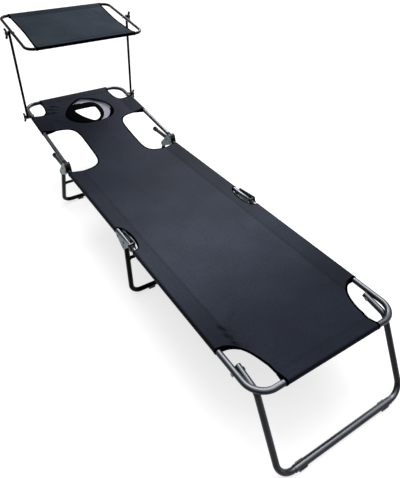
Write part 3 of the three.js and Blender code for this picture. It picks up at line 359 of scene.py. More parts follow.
LACQUER_TONES = {0.3: 0.75, 0.5: 1.0, 0.75: 1.3}
GREY_ROUGH = (0.27, 0.38)
BLACK_ROUGH = (0.28, 0.40)
# Painted shade on the sides of tubes: the range of upward facing over which it gives way, and the share of
# colour left where it is full
TUBE_SHADE_RISES = (0.45, 0.98)
TUBE_SIDE_SHADE = 0.14
SPANGLE = 260.0
STREAK_STRETCH = (60.0, 900.0, 120.0)
STREAKS = (1.0, 3.0)
STREAK_BUMP = (0.12, 0.0003)
PLATE_SHARES = (0.5, 0.6)
PLATE_TONES = {0.2: 0.7, 0.5: 1.0, 0.85: 1.35}
PLATE_METAL = 0.85
PLATE_ROUGH = (0.28, 0.5)
BOLT_ROUGH = (0.2, 0.34)
GRAIN = (1400.0, 3.0)
GRAIN_BUMP = (0.25, 0.0003)
SCUFFS = (60.0, 6.0, 0.7)
RUB_SHARES = (0.6, 0.4)
RUB_TONES = {0.35: 0.7, 0.5: 1.0, 0.75: 3.0}
PLASTIC_ROUGH = (0.35, 0.6)
PLASTIC_GLOSS = 0.2
FLOOR_CLOUD = (0.8, 2.0)
FLOOR_TONES = {0.3: 0.985, 0.7: 1.0}
FLOOR_BUMP = (0.02, 0.001)
FLOOR_ROUGHNESS = 0.9
FLOOR_GLOSS = 0.1
FLOOR_GLOW = 0.7


def woven(name, colour, gloss=0.0, painted_light=None):
    """Plain woven polyester: threads both ways, slubs and soft patches, with painted shade on its sides,
    and on the bed painted sheen and shade along its run.
    """
    nodes = Nodes(name)
    place = nodes.flat_place()
    threads = nodes.maths("MAXIMUM", *[nodes.threads(place, THREAD_PITCH, way) for way in "XY"])
    patches = nodes.noise(place, *CLOTH_PATCHES)
    slubs = nodes.noise(place, *CLOTH_SLUBS)
    mottle = nodes.noise(place, *CLOTH_MOTTLE)
    paint = nodes.tones(nodes.mixed((patches, slubs, mottle, threads), CLOTH_SHARES), colour, CLOTH_TONES)
    # On the bed: painted sheen in its middle and painted shade towards its ends
    if painted_light:
        paint = painted_light_along(nodes, paint, place, painted_light)
    # Painted shade where the cloth faces sideways
    paint = nodes.painted_side_shade(paint, CLOTH_SHADE_RISES, CLOTH_SIDE_SHADE)
    normal = nodes.bump(patches, *CLOTH_BUMP, nodes.bump(threads, *THREAD_BUMP))
    return nodes.finish(paint, nodes.spread(slubs, CLOTH_ROUGH), normal, Specular_IOR_Level=gloss)


def painted_light_along(nodes, paint, place, painted_light):
    """The bed's paint, with painted sheen and shade along its run, and darker on the pockets beyond the
    seams.
    """
    parts = nodes.add("ShaderNodeSeparateXYZ", {0: place}).outputs
    stops = {run: [share ** power / PAINTED_LIGHT_SPAN for power in PAINTED_LIGHT_POWERS] for run, share in painted_light.items()}
    along = nodes.ramp(nodes.maths("DIVIDE", parts["Y"], BED_RUN), stops)
    paint = nodes.add("ShaderNodeVectorMath", {0: paint, 1: along}, operation="MULTIPLY").outputs[0]
    seam = RAIL_X - SEAM_INSET
    aside = nodes.maths("ABSOLUTE", parts["X"])
    return nodes.scaled(paint, nodes.spread(aside, (1.0, POCKET_SHARE), (seam - SEAM_BLUR, seam)))


def taped(name, colour):
    """Ribbed binding tape, whose ribs run across it."""
    nodes = Nodes(name)
    place = nodes.flat_place()
    wear = nodes.noise(place, TAPE_WEAR)
    normal = nodes.bump(nodes.threads(place, RIB_PITCH, "Y"), *RIB_BUMP)
    paint = nodes.tones(wear, colour, TAPE_TONES)
    return nodes.finish(paint, nodes.spread(wear, TAPE_ROUGH), normal, Specular_IOR_Level=0.0)


def knitted(name, colour):
    """Soft brushed cloth of the pad."""
    nodes = Nodes(name)
    place = nodes.place()
    nap = nodes.noise(place, NAP)
    normal = nodes.bump(nodes.cells(place, LOOPS), *LOOP_BUMP)
    paint = nodes.tones(nap, colour, NAP_TONES)
    return nodes.finish(paint, nodes.spread(nap, NAP_ROUGH), normal, Specular_IOR_Level=0.0)


def lacquered(name, colour, rough):
    """Lacquered steel tube: orange peel, flakes and dull patches, with painted shade on its sides, where
    its reflections are darkened.
    """
    nodes = Nodes(name)
    place = nodes.place()
    patches = nodes.noise(place, *LACQUER_PATCHES)
    tone = nodes.mixed((patches, nodes.noise(place, *LACQUER_FLAKES)), LACQUER_SHARES)
    # Painted shade: the tube's sides darker, their reflections included
    paint = nodes.painted_side_shade(nodes.tones(tone, colour, LACQUER_TONES), TUBE_SHADE_RISES, TUBE_SIDE_SHADE)
    normal = nodes.bump(nodes.noise(place, *PEEL), *PEEL_BUMP)
    return nodes.finish(paint, nodes.spread(patches, rough), normal, Metallic=1.0)


def plated(name, colour, rough):
    """Zinc plate: pressed, a little streaked and spangled."""
    nodes = Nodes(name)
    place = nodes.place()
    stretch = nodes.add("ShaderNodeMapping", {"Vector": place, "Scale": STREAK_STRETCH}).outputs["Vector"]
    streaks = nodes.noise(stretch, *STREAKS)
    tone = nodes.mixed((nodes.cells(place, SPANGLE), streaks), PLATE_SHARES)
    normal = nodes.bump(streaks, *STREAK_BUMP)
    paint = nodes.tones(tone, colour, PLATE_TONES)
    return nodes.finish(paint, nodes.spread(tone, rough), normal, Metallic=PLATE_METAL)


def moulded(name, colour):
    """Black moulded plastic with a fine grain, paler where it rubs."""
    nodes = Nodes(name)
    place = nodes.place()
    scuffs = nodes.noise(place, *SCUFFS)
    edges = nodes.add("ShaderNodeNewGeometry").outputs["Pointiness"]
    paint = nodes.tones(nodes.mixed((scuffs, edges), RUB_SHARES), colour, RUB_TONES)
    normal = nodes.bump(nodes.noise(place, *GRAIN), *GRAIN_BUMP)
    rough = nodes.spread(scuffs, PLASTIC_ROUGH)
    return nodes.finish(paint, rough, normal, Specular_IOR_Level=PLASTIC_GLOSS)


def plain_floor(name, colour):
    nodes = Nodes(name)
    cloud = nodes.noise(nodes.place(), *FLOOR_CLOUD)
    return nodes.finish(
        nodes.tones(cloud, colour, FLOOR_TONES), FLOOR_ROUGHNESS, nodes.bump(cloud, *FLOOR_BUMP),
        Specular_IOR_Level=FLOOR_GLOSS, Emission_Color=(1, 1, 1, 1), Emission_Strength=FLOOR_GLOW,
    )


MATERIALS = {}


def material(slot):
    """The finish of one of the record's slots, or of a sewn trim, made once."""
    if not MATERIALS:
        colours = bpy.context.scene.lounger_colours
        MATERIALS.update(
            # The bed's colour, with headroom for the painted sheen along its run
            cloth=woven("charcoal_cloth", shade(colours.cloth, PAINTED_LIGHT_SPAN), CLOTH_GLOSS, BED_PAINTED_LIGHT),
            # The canopy takes the bed's cloth in a colour of its own, as painted shade
            canopy=woven("canopy_cloth", colours.canopy),
            lining=woven("pale_lining", colours.lining),
            tape=taped("binding_tape", colours.tape),
            pad_cloth=knitted("pad_cloth", colours.pad),
            tube_steel=lacquered("grey_tube", colours.tube, GREY_ROUGH),
            dark_tube_steel=lacquered("black_tube", colours.dark_tube, BLACK_ROUGH),
            bracket_steel=plated("blue_grey_plate", colours.bracket, PLATE_ROUGH),
            zinc_hardware=plated("bright_zinc", colours.hardware, BOLT_ROUGH),
            black_plastic=moulded("black_plastic", colours.plastic),
            floor=plain_floor("pale_floor", colours.floor),
        )
    return MATERIALS[slot]


# Mesh helpers


def new_piece(name, vertices, faces, slot, flats=None):
    """A mesh object from vertices and faces, with a flat map in metres for its weave."""
    mesh = bpy.data.meshes.new(name)
    mesh.from_pydata([tuple(v) for v in vertices], [], [tuple(int(i) for i in f) for f in faces])
    if flats is not None:
        layer = mesh.uv_layers.new(name="flat")
        order = np.zeros(len(mesh.loops), np.int32)
        mesh.loops.foreach_get("vertex_index", order)
        layer.data.foreach_set("uv", np.asarray(flats, np.float32)[order].ravel())
    mesh.shade_smooth()
    piece = bpy.data.objects.new(name, mesh)
    bpy.context.scene.collection.objects.link(piece)
    mesh.materials.append(material(slot))
    return piece


def settle(piece):
    """Turns what the modifiers make of a piece into its mesh."""
    shown = piece.evaluated_get(bpy.context.evaluated_depsgraph_get())
    mesh = bpy.data.meshes.new_from_object(shown)
    old = piece.data
    piece.modifiers.clear()
    piece.data = mesh
    mesh.name = old.name
    bpy.data.meshes.remove(old)


def thicken(piece, thickness):
    skin = piece.modifiers.new("thickness", "SOLIDIFY")
    skin.thickness = thickness
    skin.offset = 0
    settle(piece)


def sharpen(piece, degrees):
    """Smooth shading with creases kept where faces meet at more than an angle."""
    piece.data.shade_smooth()
    form = bmesh.new()
    form.from_mesh(piece.data)
    limit = math.radians(degrees)
    for edge in form.edges:
        edge.smooth = edge.calc_face_angle(math.pi) < limit
    form.to_mesh(piece.data)
    form.free()


def face_outwards(piece):
    form = bmesh.new()
    form.from_mesh(piece.data)
    bmesh.ops.recalc_face_normals(form, faces=form.faces)
    form.to_mesh(piece.data)
    form.free()


def ring_faces(rings, count, closed=False, first=0):
    """The faces between rings of vertices that follow each other."""
    faces = []
    for i in range(rings if closed else rings - 1):
        low = first + i * count
        high = first + (i + 1) % rings * count
        for k in range(count):
            m = (k + 1) % count
            faces.append((low + k, low + m, high + m, high + k))
    return faces


def end_faces(rings, count, first=0):
    """The two faces that close the first and the last of such rings."""
    last = first + (rings - 1) * count
    return [tuple(reversed(range(first, first + count))), tuple(range(last, last + count))]


def smoothstep(value, low, high):
    share = np.clip((value - low) / (high - low), 0, 1)
    return share * share * (3 - 2 * share)


def signed_power(value, power):
    return np.sign(value) * np.abs(value) ** power


def tilted(pin, tilt, distance, height):
    """A place over a tilted plane through a pin, as y and z."""
    sine, cosine = math.sin(tilt), math.cos(tilt)
    return pin.y + distance * cosine - height * sine, pin.z + distance * sine + height * cosine


def head_place(distance, height=0.0):
    """A place on the head section, from its pin."""
    return tilted(HEAD_PIN, HEAD_TILT, distance, height)


def canopy_place(distance, height=0.0):
    """A place on the canopy, from its pin."""
    return tilted(CANOPY_PIN, CANOPY_TILT, distance, height)


# Cloth surfaces


class Line:
    """A line in a plane, found by the distance along it."""

    def __init__(self, points):
        self.points = np.array(points, float)
        steps = np.diff(self.points, axis=0)
        self.lengths = np.concatenate([[0.0], np.cumsum(np.hypot(*steps.T))])
        self.length = self.lengths[-1]

    def place(self, distance):
        return np.stack([np.interp(distance, self.lengths, column) for column in self.points.T], axis=-1)

    def normal(self, distance):
        reach = WRAP_STEP / 2
        run = self.place(np.asarray(distance) + reach) - self.place(np.asarray(distance) - reach)
        run = run / np.maximum(np.hypot(run[..., 0], run[..., 1]), reach / WRAP_STEPS)[..., None]
        return np.stack([-run[..., 1], run[..., 0]], axis=-1)


def wrap(radius, inset, thickness):
    """Cloth in section, from a seam up over a tube at zero and back under it to the seam."""
    start = math.pi - math.acos(radius / inset)
    arc = [(radius * math.cos(a), radius * math.sin(a)) for a in np.linspace(start, -start, WRAP_STEPS)]
    return [(-inset, 0.0), *arc, (-inset, -thickness)]


def filled(points):
    """The same line with points no further apart than a step."""
    out = [points[0]]
    for a, b in zip(points, points[1:]):
        count = max(1, math.ceil(math.dist(a, b) / PATH_STEP))
        out += [tuple(np.add(a, np.subtract(b, a) * i / count)) for i in range(1, count + 1)]
    return out


class Surface:
    """Cloth that follows one line along its length and one across its half width."""

    def __init__(self, across, along, relief):
        self.across = across
        self.along = along
        self.relief = relief
        self.out = across.lengths[np.argmax(across.points[:, 0])]

    def section(self, x):
        """The distance across at which the upper layer is x from the middle."""
        upper = self.across.lengths <= self.out + TINY
        return np.interp(x, self.across.points[upper, 0], self.across.lengths[upper])

    def place(self, flats):
        flats = np.asarray(flats, float)
        across = self.across.place(np.abs(flats[:, 0]))
        along = self.along.place(flats[:, 1])
        normal = self.along.normal(flats[:, 1])
        x = np.sign(flats[:, 0]) * across[:, 0]
        lift = across[:, 1] + self.relief(x, along[:, 0], flats[:, 0], flats[:, 1])
        return np.column_stack([x, along[:, 0] + normal[:, 0] * lift, along[:, 1] + normal[:, 1] * lift])

    def normals(self, flats):
        flats = np.asarray(flats, float)
        reach = WRAP_STEP / 4
        side = self.place(flats + [reach, 0]) - self.place(flats - [reach, 0])
        ahead = self.place(flats + [0, reach]) - self.place(flats - [0, reach])
        normal = np.cross(side, ahead)
        return normal / np.maximum(np.linalg.norm(normal, axis=1), reach ** 3)[:, None]


def squared_oval(share, exponent):
    """Half width of a squared oval at a share of its reach."""
    return np.maximum(0.0, 1 - np.abs(share) ** exponent) ** (1 / exponent)


def eased_steps(low, high):
    """Distances from low to high, closer together at both ends."""
    turn = np.linspace(0, math.pi, max(EASED_STEPS, math.ceil((high - low) / EDGE_STEP)))
    return low + (high - low) * (1 - np.cos(turn)) / 2


def side_cut(surface, distances, half_width, side):
    """The outline in the flat cloth of a cut centred on a rail, through both layers of the pocket."""
    upper = surface.section(RAIL_X - half_width)
    lower = 2 * surface.out - upper
    there = np.column_stack([upper, distances])
    back = np.column_stack([lower, distances])[::-1]
    return np.concatenate([there, back[1:-1]]) * [side, 1]


def inside(points, outline):
    """Which points lie within a closed outline."""
    x, y = points[:, 0][:, None], points[:, 1][:, None]
    ax, ay = outline[:, 0], outline[:, 1]
    bx, by = np.roll(ax, -1), np.roll(ay, -1)
    crossing = (ay > y) != (by > y)
    rise = np.where(by == ay, 1.0, by - ay)
    hit = crossing & (x < (bx - ax) * (y - ay) / rise + ax)
    return hit.sum(axis=1) % 2 == 1


def spaced(outline, step):
    """A closed outline with points an even step apart."""
    line = Line(np.vstack([outline, outline[:1]]))
    return line.place(np.linspace(0, line.length, max(3, round(line.length / step)), endpoint=False))


def stations(length, fine_zones):
    """Distances along one side of the cloth, closer where it turns round a tube."""
    out = [0.0]
    while out[-1] < length:
        near = any(low - CLOTH_STEP / 2 <= out[-1] < high for low, high in fine_zones)
        out.append(out[-1] + (WRAP_STEP if near else CLOTH_STEP))
    out[-1] = length
    return np.array(out)


def doubled_areas(flats, faces):
    """Twice the area of each flat triangle, below zero where it lies upside down."""
    a, b, c = (flats[faces[:, i]] for i in range(3))
    return (b[:, 0] - a[:, 0]) * (c[:, 1] - a[:, 1]) - (c[:, 0] - a[:, 0]) * (b[:, 1] - a[:, 1])


def cut_cloth(surface, cuts, seam, fine_across, fine_along):
    """Triangles of the flat cloth with its cuts left out, and each cut's edge that lies on the cloth."""
    half, length = surface.across.length, surface.along.length
    rows, right = stations(length, fine_along), stations(half, fine_across)
    columns = np.unique(np.round(np.concatenate([-right, right, [seam, -seam]]), GRID_DIGITS))
    grid = np.stack(np.meshgrid(columns, rows, indexing="ij"), axis=-1).reshape(-1, 2)
    border = np.array([(-half, 0), (half, 0), (half, length), (-half, length)])
    loops = [spaced(border, CLOTH_STEP)] + [spaced(outline, EDGE_STEP) for outline in cuts]
    for loop in loops[1:]:
        near = np.concatenate([
            np.hypot(*(part[:, None] - loop).T).min(axis=0) for part in np.array_split(grid, GRID_PARTS)
        ])
        grid = grid[near > EDGE_STEP * CLEAR_SHARE]
    inner = (np.abs(grid[:, 0]) < half - WRAP_STEP / 2) & (grid[:, 1] > WRAP_STEP / 2)
    grid = grid[inner & (grid[:, 1] < length - WRAP_STEP / 2)]
    edges, first = [], 0
    for loop in loops:
        edges += [(first + i, first + (i + 1) % len(loop)) for i in range(len(loop))]
        first += len(loop)
    points = [Vector(point) for point in np.concatenate([*loops, grid])]
    result = delaunay_2d_cdt(points, edges, [], 0, MERGE_REACH, False)
    flats = np.array([(v.x, v.y) for v in result[0]])
    faces = np.array([f for f in result[2] if len(f) == 3])
    middles = flats[faces].mean(axis=1)
    keep = (np.abs(middles[:, 0]) < half) & (middles[:, 1] > 0) & (middles[:, 1] < length)
    for outline in loops[1:]:
        keep &= ~inside(middles, outline)
    doubled = doubled_areas(flats, faces)
    keep &= np.abs(doubled) > LEAST_AREA
    faces = np.where((doubled < 0)[:, None], faces[:, ::-1], faces)[keep]
    used = np.unique(faces)
    renumber = np.zeros(len(flats), int)
    renumber[used] = np.arange(len(used))
    return flats[used], renumber[faces], [edge_on_cloth(loop, half, length) for loop in loops[1:]]


def edge_on_cloth(loop, half, length):
    """The run of an outline that lies on the cloth, and whether it is a whole ring."""
    on = (np.abs(loop[:, 0]) <= half) & (loop[:, 1] >= 0) & (loop[:, 1] <= length)
    if on.all():
        return loop, True
    start = int(np.argmin(on))
    turned, kept = np.roll(loop, -start, axis=0), np.roll(on, -start)
    return turned[kept], False


# Trim


TAPE_TURNS = 12
TAPE_POWER = 0.6
TAPE_FOLD_SHARE = 0.36
RING_TAPE_SHARE = 0.6
STITCH_PITCH_SHARE = 1.35
THREAD_SHARE = 0.13
THREAD_LIFT_SHARE = 0.4
STITCH_SHARES = (0.0, 0.25, 0.5, 0.75, 1.0)
STITCH_SWELL_SHARES = (0.25, 0.9, 1.0, 0.9, 0.25)
STITCH_LIFT_SHARES = (0.6, 1.0, 1.0, 1.0, 0.6)
THREAD_CORNERS = ((1, 0), (0, 1), (-1, 0), (0, -1))


def binding(name, surface, runs, sizes):
    """Folded tape over cut edges: a flattened round that is swept along each edge."""
    turns = np.linspace(0, 2 * math.pi, TAPE_TURNS, endpoint=False)
    across = signed_power(np.cos(turns), TAPE_POWER) * sizes.tape_width / 2
    thick = signed_power(np.sin(turns), TAPE_POWER) * sizes.tape_thickness / 2
    vertices, faces, flats = [], [], []
    for run, ring in runs:
        share = RING_TAPE_SHARE if ring else 1.0
        places, normals = surface.place(run), surface.normals(run)
        ahead = np.roll(places, -1, axis=0) - np.roll(places, 1, axis=0)
        if not ring:
            ahead[0] = places[1] - places[0]
            ahead[-1] = places[-1] - places[-2]
        ahead /= np.maximum(np.linalg.norm(ahead, axis=1), TINY)[:, None]
        inward = np.cross(normals, ahead)
        steps = np.linalg.norm(np.diff(places, axis=0), axis=1)
        distances = np.concatenate([[0], np.cumsum(steps)])
        fold = sizes.tape_width * TAPE_FOLD_SHARE * share
        centres = places + inward * fold * run_side(run)
        first = len(vertices)
        for centre, aside, up, distance in zip(centres, inward, normals, distances):
            vertices += [centre + aside * w + up * h for w, h in zip(across * share, thick)]
            flats += [(w, distance) for w in across * share]
        around = ring_faces(len(run), TAPE_TURNS, ring, first)
        faces += [(a, d, c, b) for a, b, c, d in around]
        if not ring:
            faces += [face[::-1] for face in end_faces(len(run), TAPE_TURNS, first)]
    piece = new_piece(name, vertices, faces, "tape", flats)
    face_outwards(piece)
    return piece


def run_side(run):
    """Which side of a cut's edge the cloth is on: 1 for the left of the run, and -1 for the right."""
    after = np.roll(run, -1, axis=0)
    return -1.0 if np.sum(run[:, 0] * after[:, 1] - after[:, 0] * run[:, 1]) > 0 else 1.0


def stitching(name, surface, rows, sizes):
    """Thread along lines on the cloth: one long lozenge for each stitch."""
    vertices, faces, flats = [], [], []
    pitch = sizes.stitch * STITCH_PITCH_SHARE
    thread = sizes.stitch * THREAD_SHARE
    lift = sizes.thickness / 2 + thread * THREAD_LIFT_SHARE
    rings, corners = len(STITCH_SHARES), len(THREAD_CORNERS)
    for row in rows:
        line = Line(row)
        starts = np.arange(int(line.length / pitch)) * pitch
        points = [line.place(starts + sizes.stitch * share) for share in STITCH_SHARES]
        places = [surface.place(p) for p in points]
        normals = surface.normals(points[rings // 2])
        run = places[-1] - places[0]
        run /= np.maximum(np.linalg.norm(run, axis=1), TINY)[:, None]
        side = np.cross(normals, run)
        for i in range(len(starts)):
            first = len(vertices)
            for step, (swell, rise) in enumerate(zip(STITCH_SWELL_SHARES, STITCH_LIFT_SHARES)):
                centre = places[step][i] + normals[i] * (lift * rise)
                for u, v in THREAD_CORNERS:
                    vertices.append(centre + (side[i] * u + normals[i] * v) * thread * swell)
                    flats.append((u * thread, step * thread))
            faces += ring_faces(rings, corners, False, first) + end_faces(rings, corners, first)
    return new_piece(name, vertices, faces, "tape", flats)


def sewn_cloth(name, surface, cut, rows, slot, thickness, sizes, weave_start=0.0):
    """A cloth, its binding and its stitching, and the area of the flat cloth."""
    flats, faces, runs = cut
    cloth = new_piece(name, surface.place(flats), faces, slot, flats + [0, weave_start])
    thicken(cloth, thickness)
    sharpen(cloth, RIM_DEGREES)
    tape = binding(f"{name}_binding", surface, runs, sizes)
    stitches = stitching(f"{name}_stitching", surface, rows, sizes)
    return cloth, tape, stitches, float(np.sum(np.abs(doubled_areas(flats, faces))) / 2)


# The bed


def bed_wrap(inset, sizes):
    return wrap(RAIL_RADIUS + TUBE_GAP + sizes.thickness / 2, inset, sizes.thickness)


def bed_section(sizes):
    """The bed's cloth across: level to the pocket's seam, then round the rail."""
    return Line([(0.0, 0.0)] + [(RAIL_X + u, v) for u, v in bed_wrap(SEAM_INSET, sizes)])


RIM_DEGREES = 50
ROOT_Y = HEAD_PIN.y - ARM_CUT["before_pin"]
SPLIT_Y = ROOT_Y - CLOTH_SPLIT
TONGUE = head_place(ARM_CUT["past_pin"])
TONGUE_SLOPE = math.atan2(TONGUE[1] - RAIL_Z, TONGUE[0] - ROOT_Y)
BEND_REACH = 0.150
SAG_RISE = (0.03, 0.30)
SAG_FALL = (0.05, 0.46)
CALM_REACH = (0.05, 0.16)
END_ZONE = 0.14
END_ROWS = 12
FREE_SHARE = 0.86
ZONE_SHARE = 0.6
ROW_STEP = 0.004
LEAST_ROW = 5
ROW_OFFSETS = (-0.003, 0.004)


def sag_share(y):
    """How much of the sag there is along the bed: none at the foot bar and at the head."""
    return smoothstep(y - FOOT_BAR_Y, *SAG_RISE) * (1 - smoothstep(y, *SAG_FALL))


# Puckers in the cloth: where each starts and ends, as x and y, with its width and its share of the height
PUCKERS = [
    ((-0.232, -0.672), (-0.190, -0.722), 0.005, 1.8),
    ((-0.240, -0.700), (-0.195, -0.750), 0.005, 2.0),
    ((-0.245, -0.728), (-0.190, -0.785), 0.005, 2.0),
    ((-0.200, -0.690), (-0.130, -0.640), 0.012, 0.6),
    ((0.212, -0.742), (0.150, -0.715), 0.010, 0.5),
    ((-0.190, -0.880), (-0.100, -0.800), 0.012, 0.5),
    ((0.190, -0.885), (0.110, -0.820), 0.012, 0.5),
    ((-0.160, 0.925), (-0.105, 0.895), 0.006, 1.8),
    ((-0.190, 0.900), (-0.125, 0.870), 0.006, -1.8),
    ((-0.205, 0.860), (-0.125, 0.845), 0.006, 1.8),
    ((-0.196, 0.812), (-0.140, 0.755), 0.012, 0.7),
    ((0.190, 0.850), (0.130, 0.825), 0.012, 0.6),
    ((-0.110, 0.345), (-0.060, 0.300), 0.014, 0.5),
    ((0.110, 0.345), (0.060, 0.300), 0.014, 0.5),
]
PUCKER_REACH = 1.15
PUCKER_RISE = (-0.01, 0.02)
PUCKER_FALL_SHARES = (0.5, 1.3)

# Slow waves of folded cloth pulled tight: their turns along it and across it, their start and their share
RIPPLES = ((31, 9, 0.4, 0.35), (17, -23, 1.9, 0.35), (13, 47, 4.1, 0.3))
RIPPLE_HEIGHT = 0.0009


def puckers(x, y):
    """Height of the puckers at places on the bed, as a share."""
    total = np.zeros_like(x)
    for (ax, ay), (bx, by), width, share in PUCKERS:
        run = np.array([bx - ax, by - ay])
        length = np.hypot(*run)
        run = run / length
        ahead = (x - ax) * run[0] + (y - ay) * run[1]
        aside = (y - ay) * run[0] - (x - ax) * run[1]
        fall = smoothstep(ahead, *(length * part for part in PUCKER_FALL_SHARES))
        reach = smoothstep(ahead, *PUCKER_RISE) * (1 - fall)
        total = total + share * np.exp(-((aside / width) ** 2)) * reach
    return total


def waves(across, along, table):
    """Height of slow waves at places on a cloth, as a share."""
    return sum(
        np.sin(ahead * along + aside * across + start) * share for ahead, aside, start, share in table
    )


def rounded_bend(y, middle, turn):
    """What rounds off the bend between two of the bed's planes, away from the rails that hold them."""
    left = np.clip(BEND_REACH - np.abs(y - middle), 0, None)
    return turn * left ** 2 / (4 * BEND_REACH)


def bed_relief(sizes, calm):
    """How far the bed's cloth stands off its plane, at places in the flat cloth."""
    seam = RAIL_X - SEAM_INSET

    def relief(x, y, across, along):
        aside = np.abs(across)
        dip = 1 - np.clip(aside / seam, 0, 1) ** 2
        free = (1 - smoothstep(aside, seam * FREE_SHARE, seam)) * smoothstep(along, *calm)
        inner = 1 - smoothstep(aside, seam, seam * PUCKER_REACH)
        bends = rounded_bend(y, ROOT_Y, TONGUE_SLOPE) + rounded_bend(y, TONGUE[0], HEAD_TILT - TONGUE_SLOPE)
        low = RIPPLE_HEIGHT * waves(x, y, RIPPLES) * free
        return low - sizes.sag * sag_share(y) * dip + sizes.wrinkle * puckers(x, y) * inner + bends * dip

    return relief


def foot_surface(sizes):
    end = [(FOOT_BAR_Y - u, RAIL_Z + v) for u, v in bed_wrap(END_SEAM_INSET, sizes)]
    path = Line(end[::-1] + filled([end[0], (SPLIT_Y, RAIL_Z)])[1:])
    return Surface(bed_section(sizes), path, bed_relief(sizes, CALM_REACH))


def head_surface(sizes):
    end = [head_place(HEAD_LENGTH + u, v) for u, v in bed_wrap(END_SEAM_INSET, sizes)]
    path = Line(filled([(SPLIT_Y, RAIL_Z), (ROOT_Y, RAIL_Z), TONGUE, end[0]]) + end[1:])
    calm = [path.length - reach for reach in CALM_REACH]
    return Surface(bed_section(sizes), path, bed_relief(sizes, calm))


def over(surface, y):
    """The distance along the cloth at which its upper layer is at y."""
    points = surface.along.points[:, 0]
    kept = slice(int(np.argmin(points)), int(np.argmax(points)) + 1)
    return float(np.interp(y, points[kept], surface.along.lengths[kept]))


def corner_cuts(surface, bar_distance, way, cut):
    """The cuts at the corners of one end, which run on round the end bar."""
    far = bar_distance + way * cut["length"]
    edge = 0.0 if way > 0 else surface.along.length
    distances = np.concatenate([
        far - way * eased_steps(0, cut["length"]), np.linspace(bar_distance, edge, END_ROWS)[1:],
    ])
    share = np.clip((distances - bar_distance) * way / cut["length"], 0, 1)
    upper = surface.section(RAIL_X - cut["inset"] * squared_oval(share, cut["exponent"]))
    lower = 2 * surface.out - upper
    past = edge - way * CLOTH_STEP
    outline = [*zip(upper, distances), (upper[-1], past), (lower[-1], past)]
    outline += list(zip(lower, distances))[::-1][:-1]
    return [np.array(outline) * [side, 1] for side in SIDES.values()]


def dress_bed(name, surface, cuts, end_zone, row, replaced, sizes):
    """One cloth of the bed with its binding and stitching."""
    half, length = surface.across.length, surface.along.length
    seam = RAIL_X - SEAM_INSET
    wrap_zone = (seam + SEAM_INSET * ZONE_SHARE, half - SEAM_INSET * ZONE_SHARE)
    cut = cut_cloth(surface, cuts, seam, [wrap_zone], [end_zone])
    rows = seam_rows(seam, length, cuts) + end_rows(row, cuts)
    weave_start = 0.0 if name == "foot_cloth" else foot_surface(sizes).along.length
    cloth, tape, stitches, area = sewn_cloth(
        name, surface, cut, rows, "cloth", sizes.thickness, sizes, weave_start,
    )
    for piece in (cloth, tape, stitches):
        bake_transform(piece)
    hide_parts(*replaced)


def split_runs(points, cuts):
    """The runs of a row of points that are outside every cut."""
    free = np.ones(len(points), bool)
    for outline in cuts:
        free &= ~inside(points, outline)
    breaks = np.flatnonzero(np.diff(free)) + 1
    parts = zip(np.split(points, breaks), np.split(free, breaks))
    return [part for part, kept in parts if kept[0] and len(part) > LEAST_ROW]


def seam_rows(seam, length, cuts):
    """Two rows of stitches along each pocket's seam."""
    y = np.arange(ROW_STEP, length - ROW_STEP, ROW_STEP)
    places = [side * (seam + offset) for side in SIDES.values() for offset in ROW_OFFSETS]
    return [run for x in places for run in split_runs(np.column_stack([np.full_like(y, x), y]), cuts)]


def end_rows(place, cuts):
    """Two rows of stitches along an end pocket's seam."""
    x = np.arange(-RAIL_X + SEAM_INSET, RAIL_X - SEAM_INSET, ROW_STEP)
    places = [place + offset for offset in ROW_OFFSETS]
    return [run for y in places for run in split_runs(np.column_stack([x, np.full_like(x, y)]), cuts)]


def oval_points(turns, oval, exponents):
    """Points of a squared oval on the head section, whose four quarters may differ."""
    sine, cosine = np.sin(turns), np.cos(turns)
    upper = np.where(cosine < 0, exponents["up_left"], exponents["up_right"])
    lower = np.where(cosine < 0, exponents["down_left"], exponents["down_right"])
    power = 2 / np.where(sine > 0, upper, lower)
    reach = np.where(sine > 0, oval["up"], oval["down"])
    across = oval["x"] + oval["half_width"] * signed_power(cosine, power)
    return np.column_stack([across, oval["widest"] + reach * signed_power(sine, power)])


def on_head(points, heights):
    """Places on the head section from points across and along it, at heights over its plane."""
    y, z = head_place(points[:, 1], heights)
    return np.column_stack([points[:, 0], y, z])


def ring_band(name, outer, inner, belly, slot):
    """A band between two rings of places that bellies out between them, with its length and width."""
    shares = np.linspace(0, 1, LINING_STEPS)
    vertices = np.concatenate([outer + (inner - outer) * s + belly * 4 * s * (1 - s) for s in shares])
    width = float(np.mean(np.linalg.norm(inner - outer, axis=1)))
    runs = np.linalg.norm(np.roll(outer, -1, axis=0) - outer, axis=1)
    along = np.concatenate([[0.0], np.cumsum(runs)[:-1]])
    flats = np.concatenate([np.column_stack([np.full(len(outer), s * width), along]) for s in shares])
    piece = new_piece(name, vertices, ring_faces(LINING_STEPS, len(outer)), slot, flats)
    return piece, float(runs.sum()), width


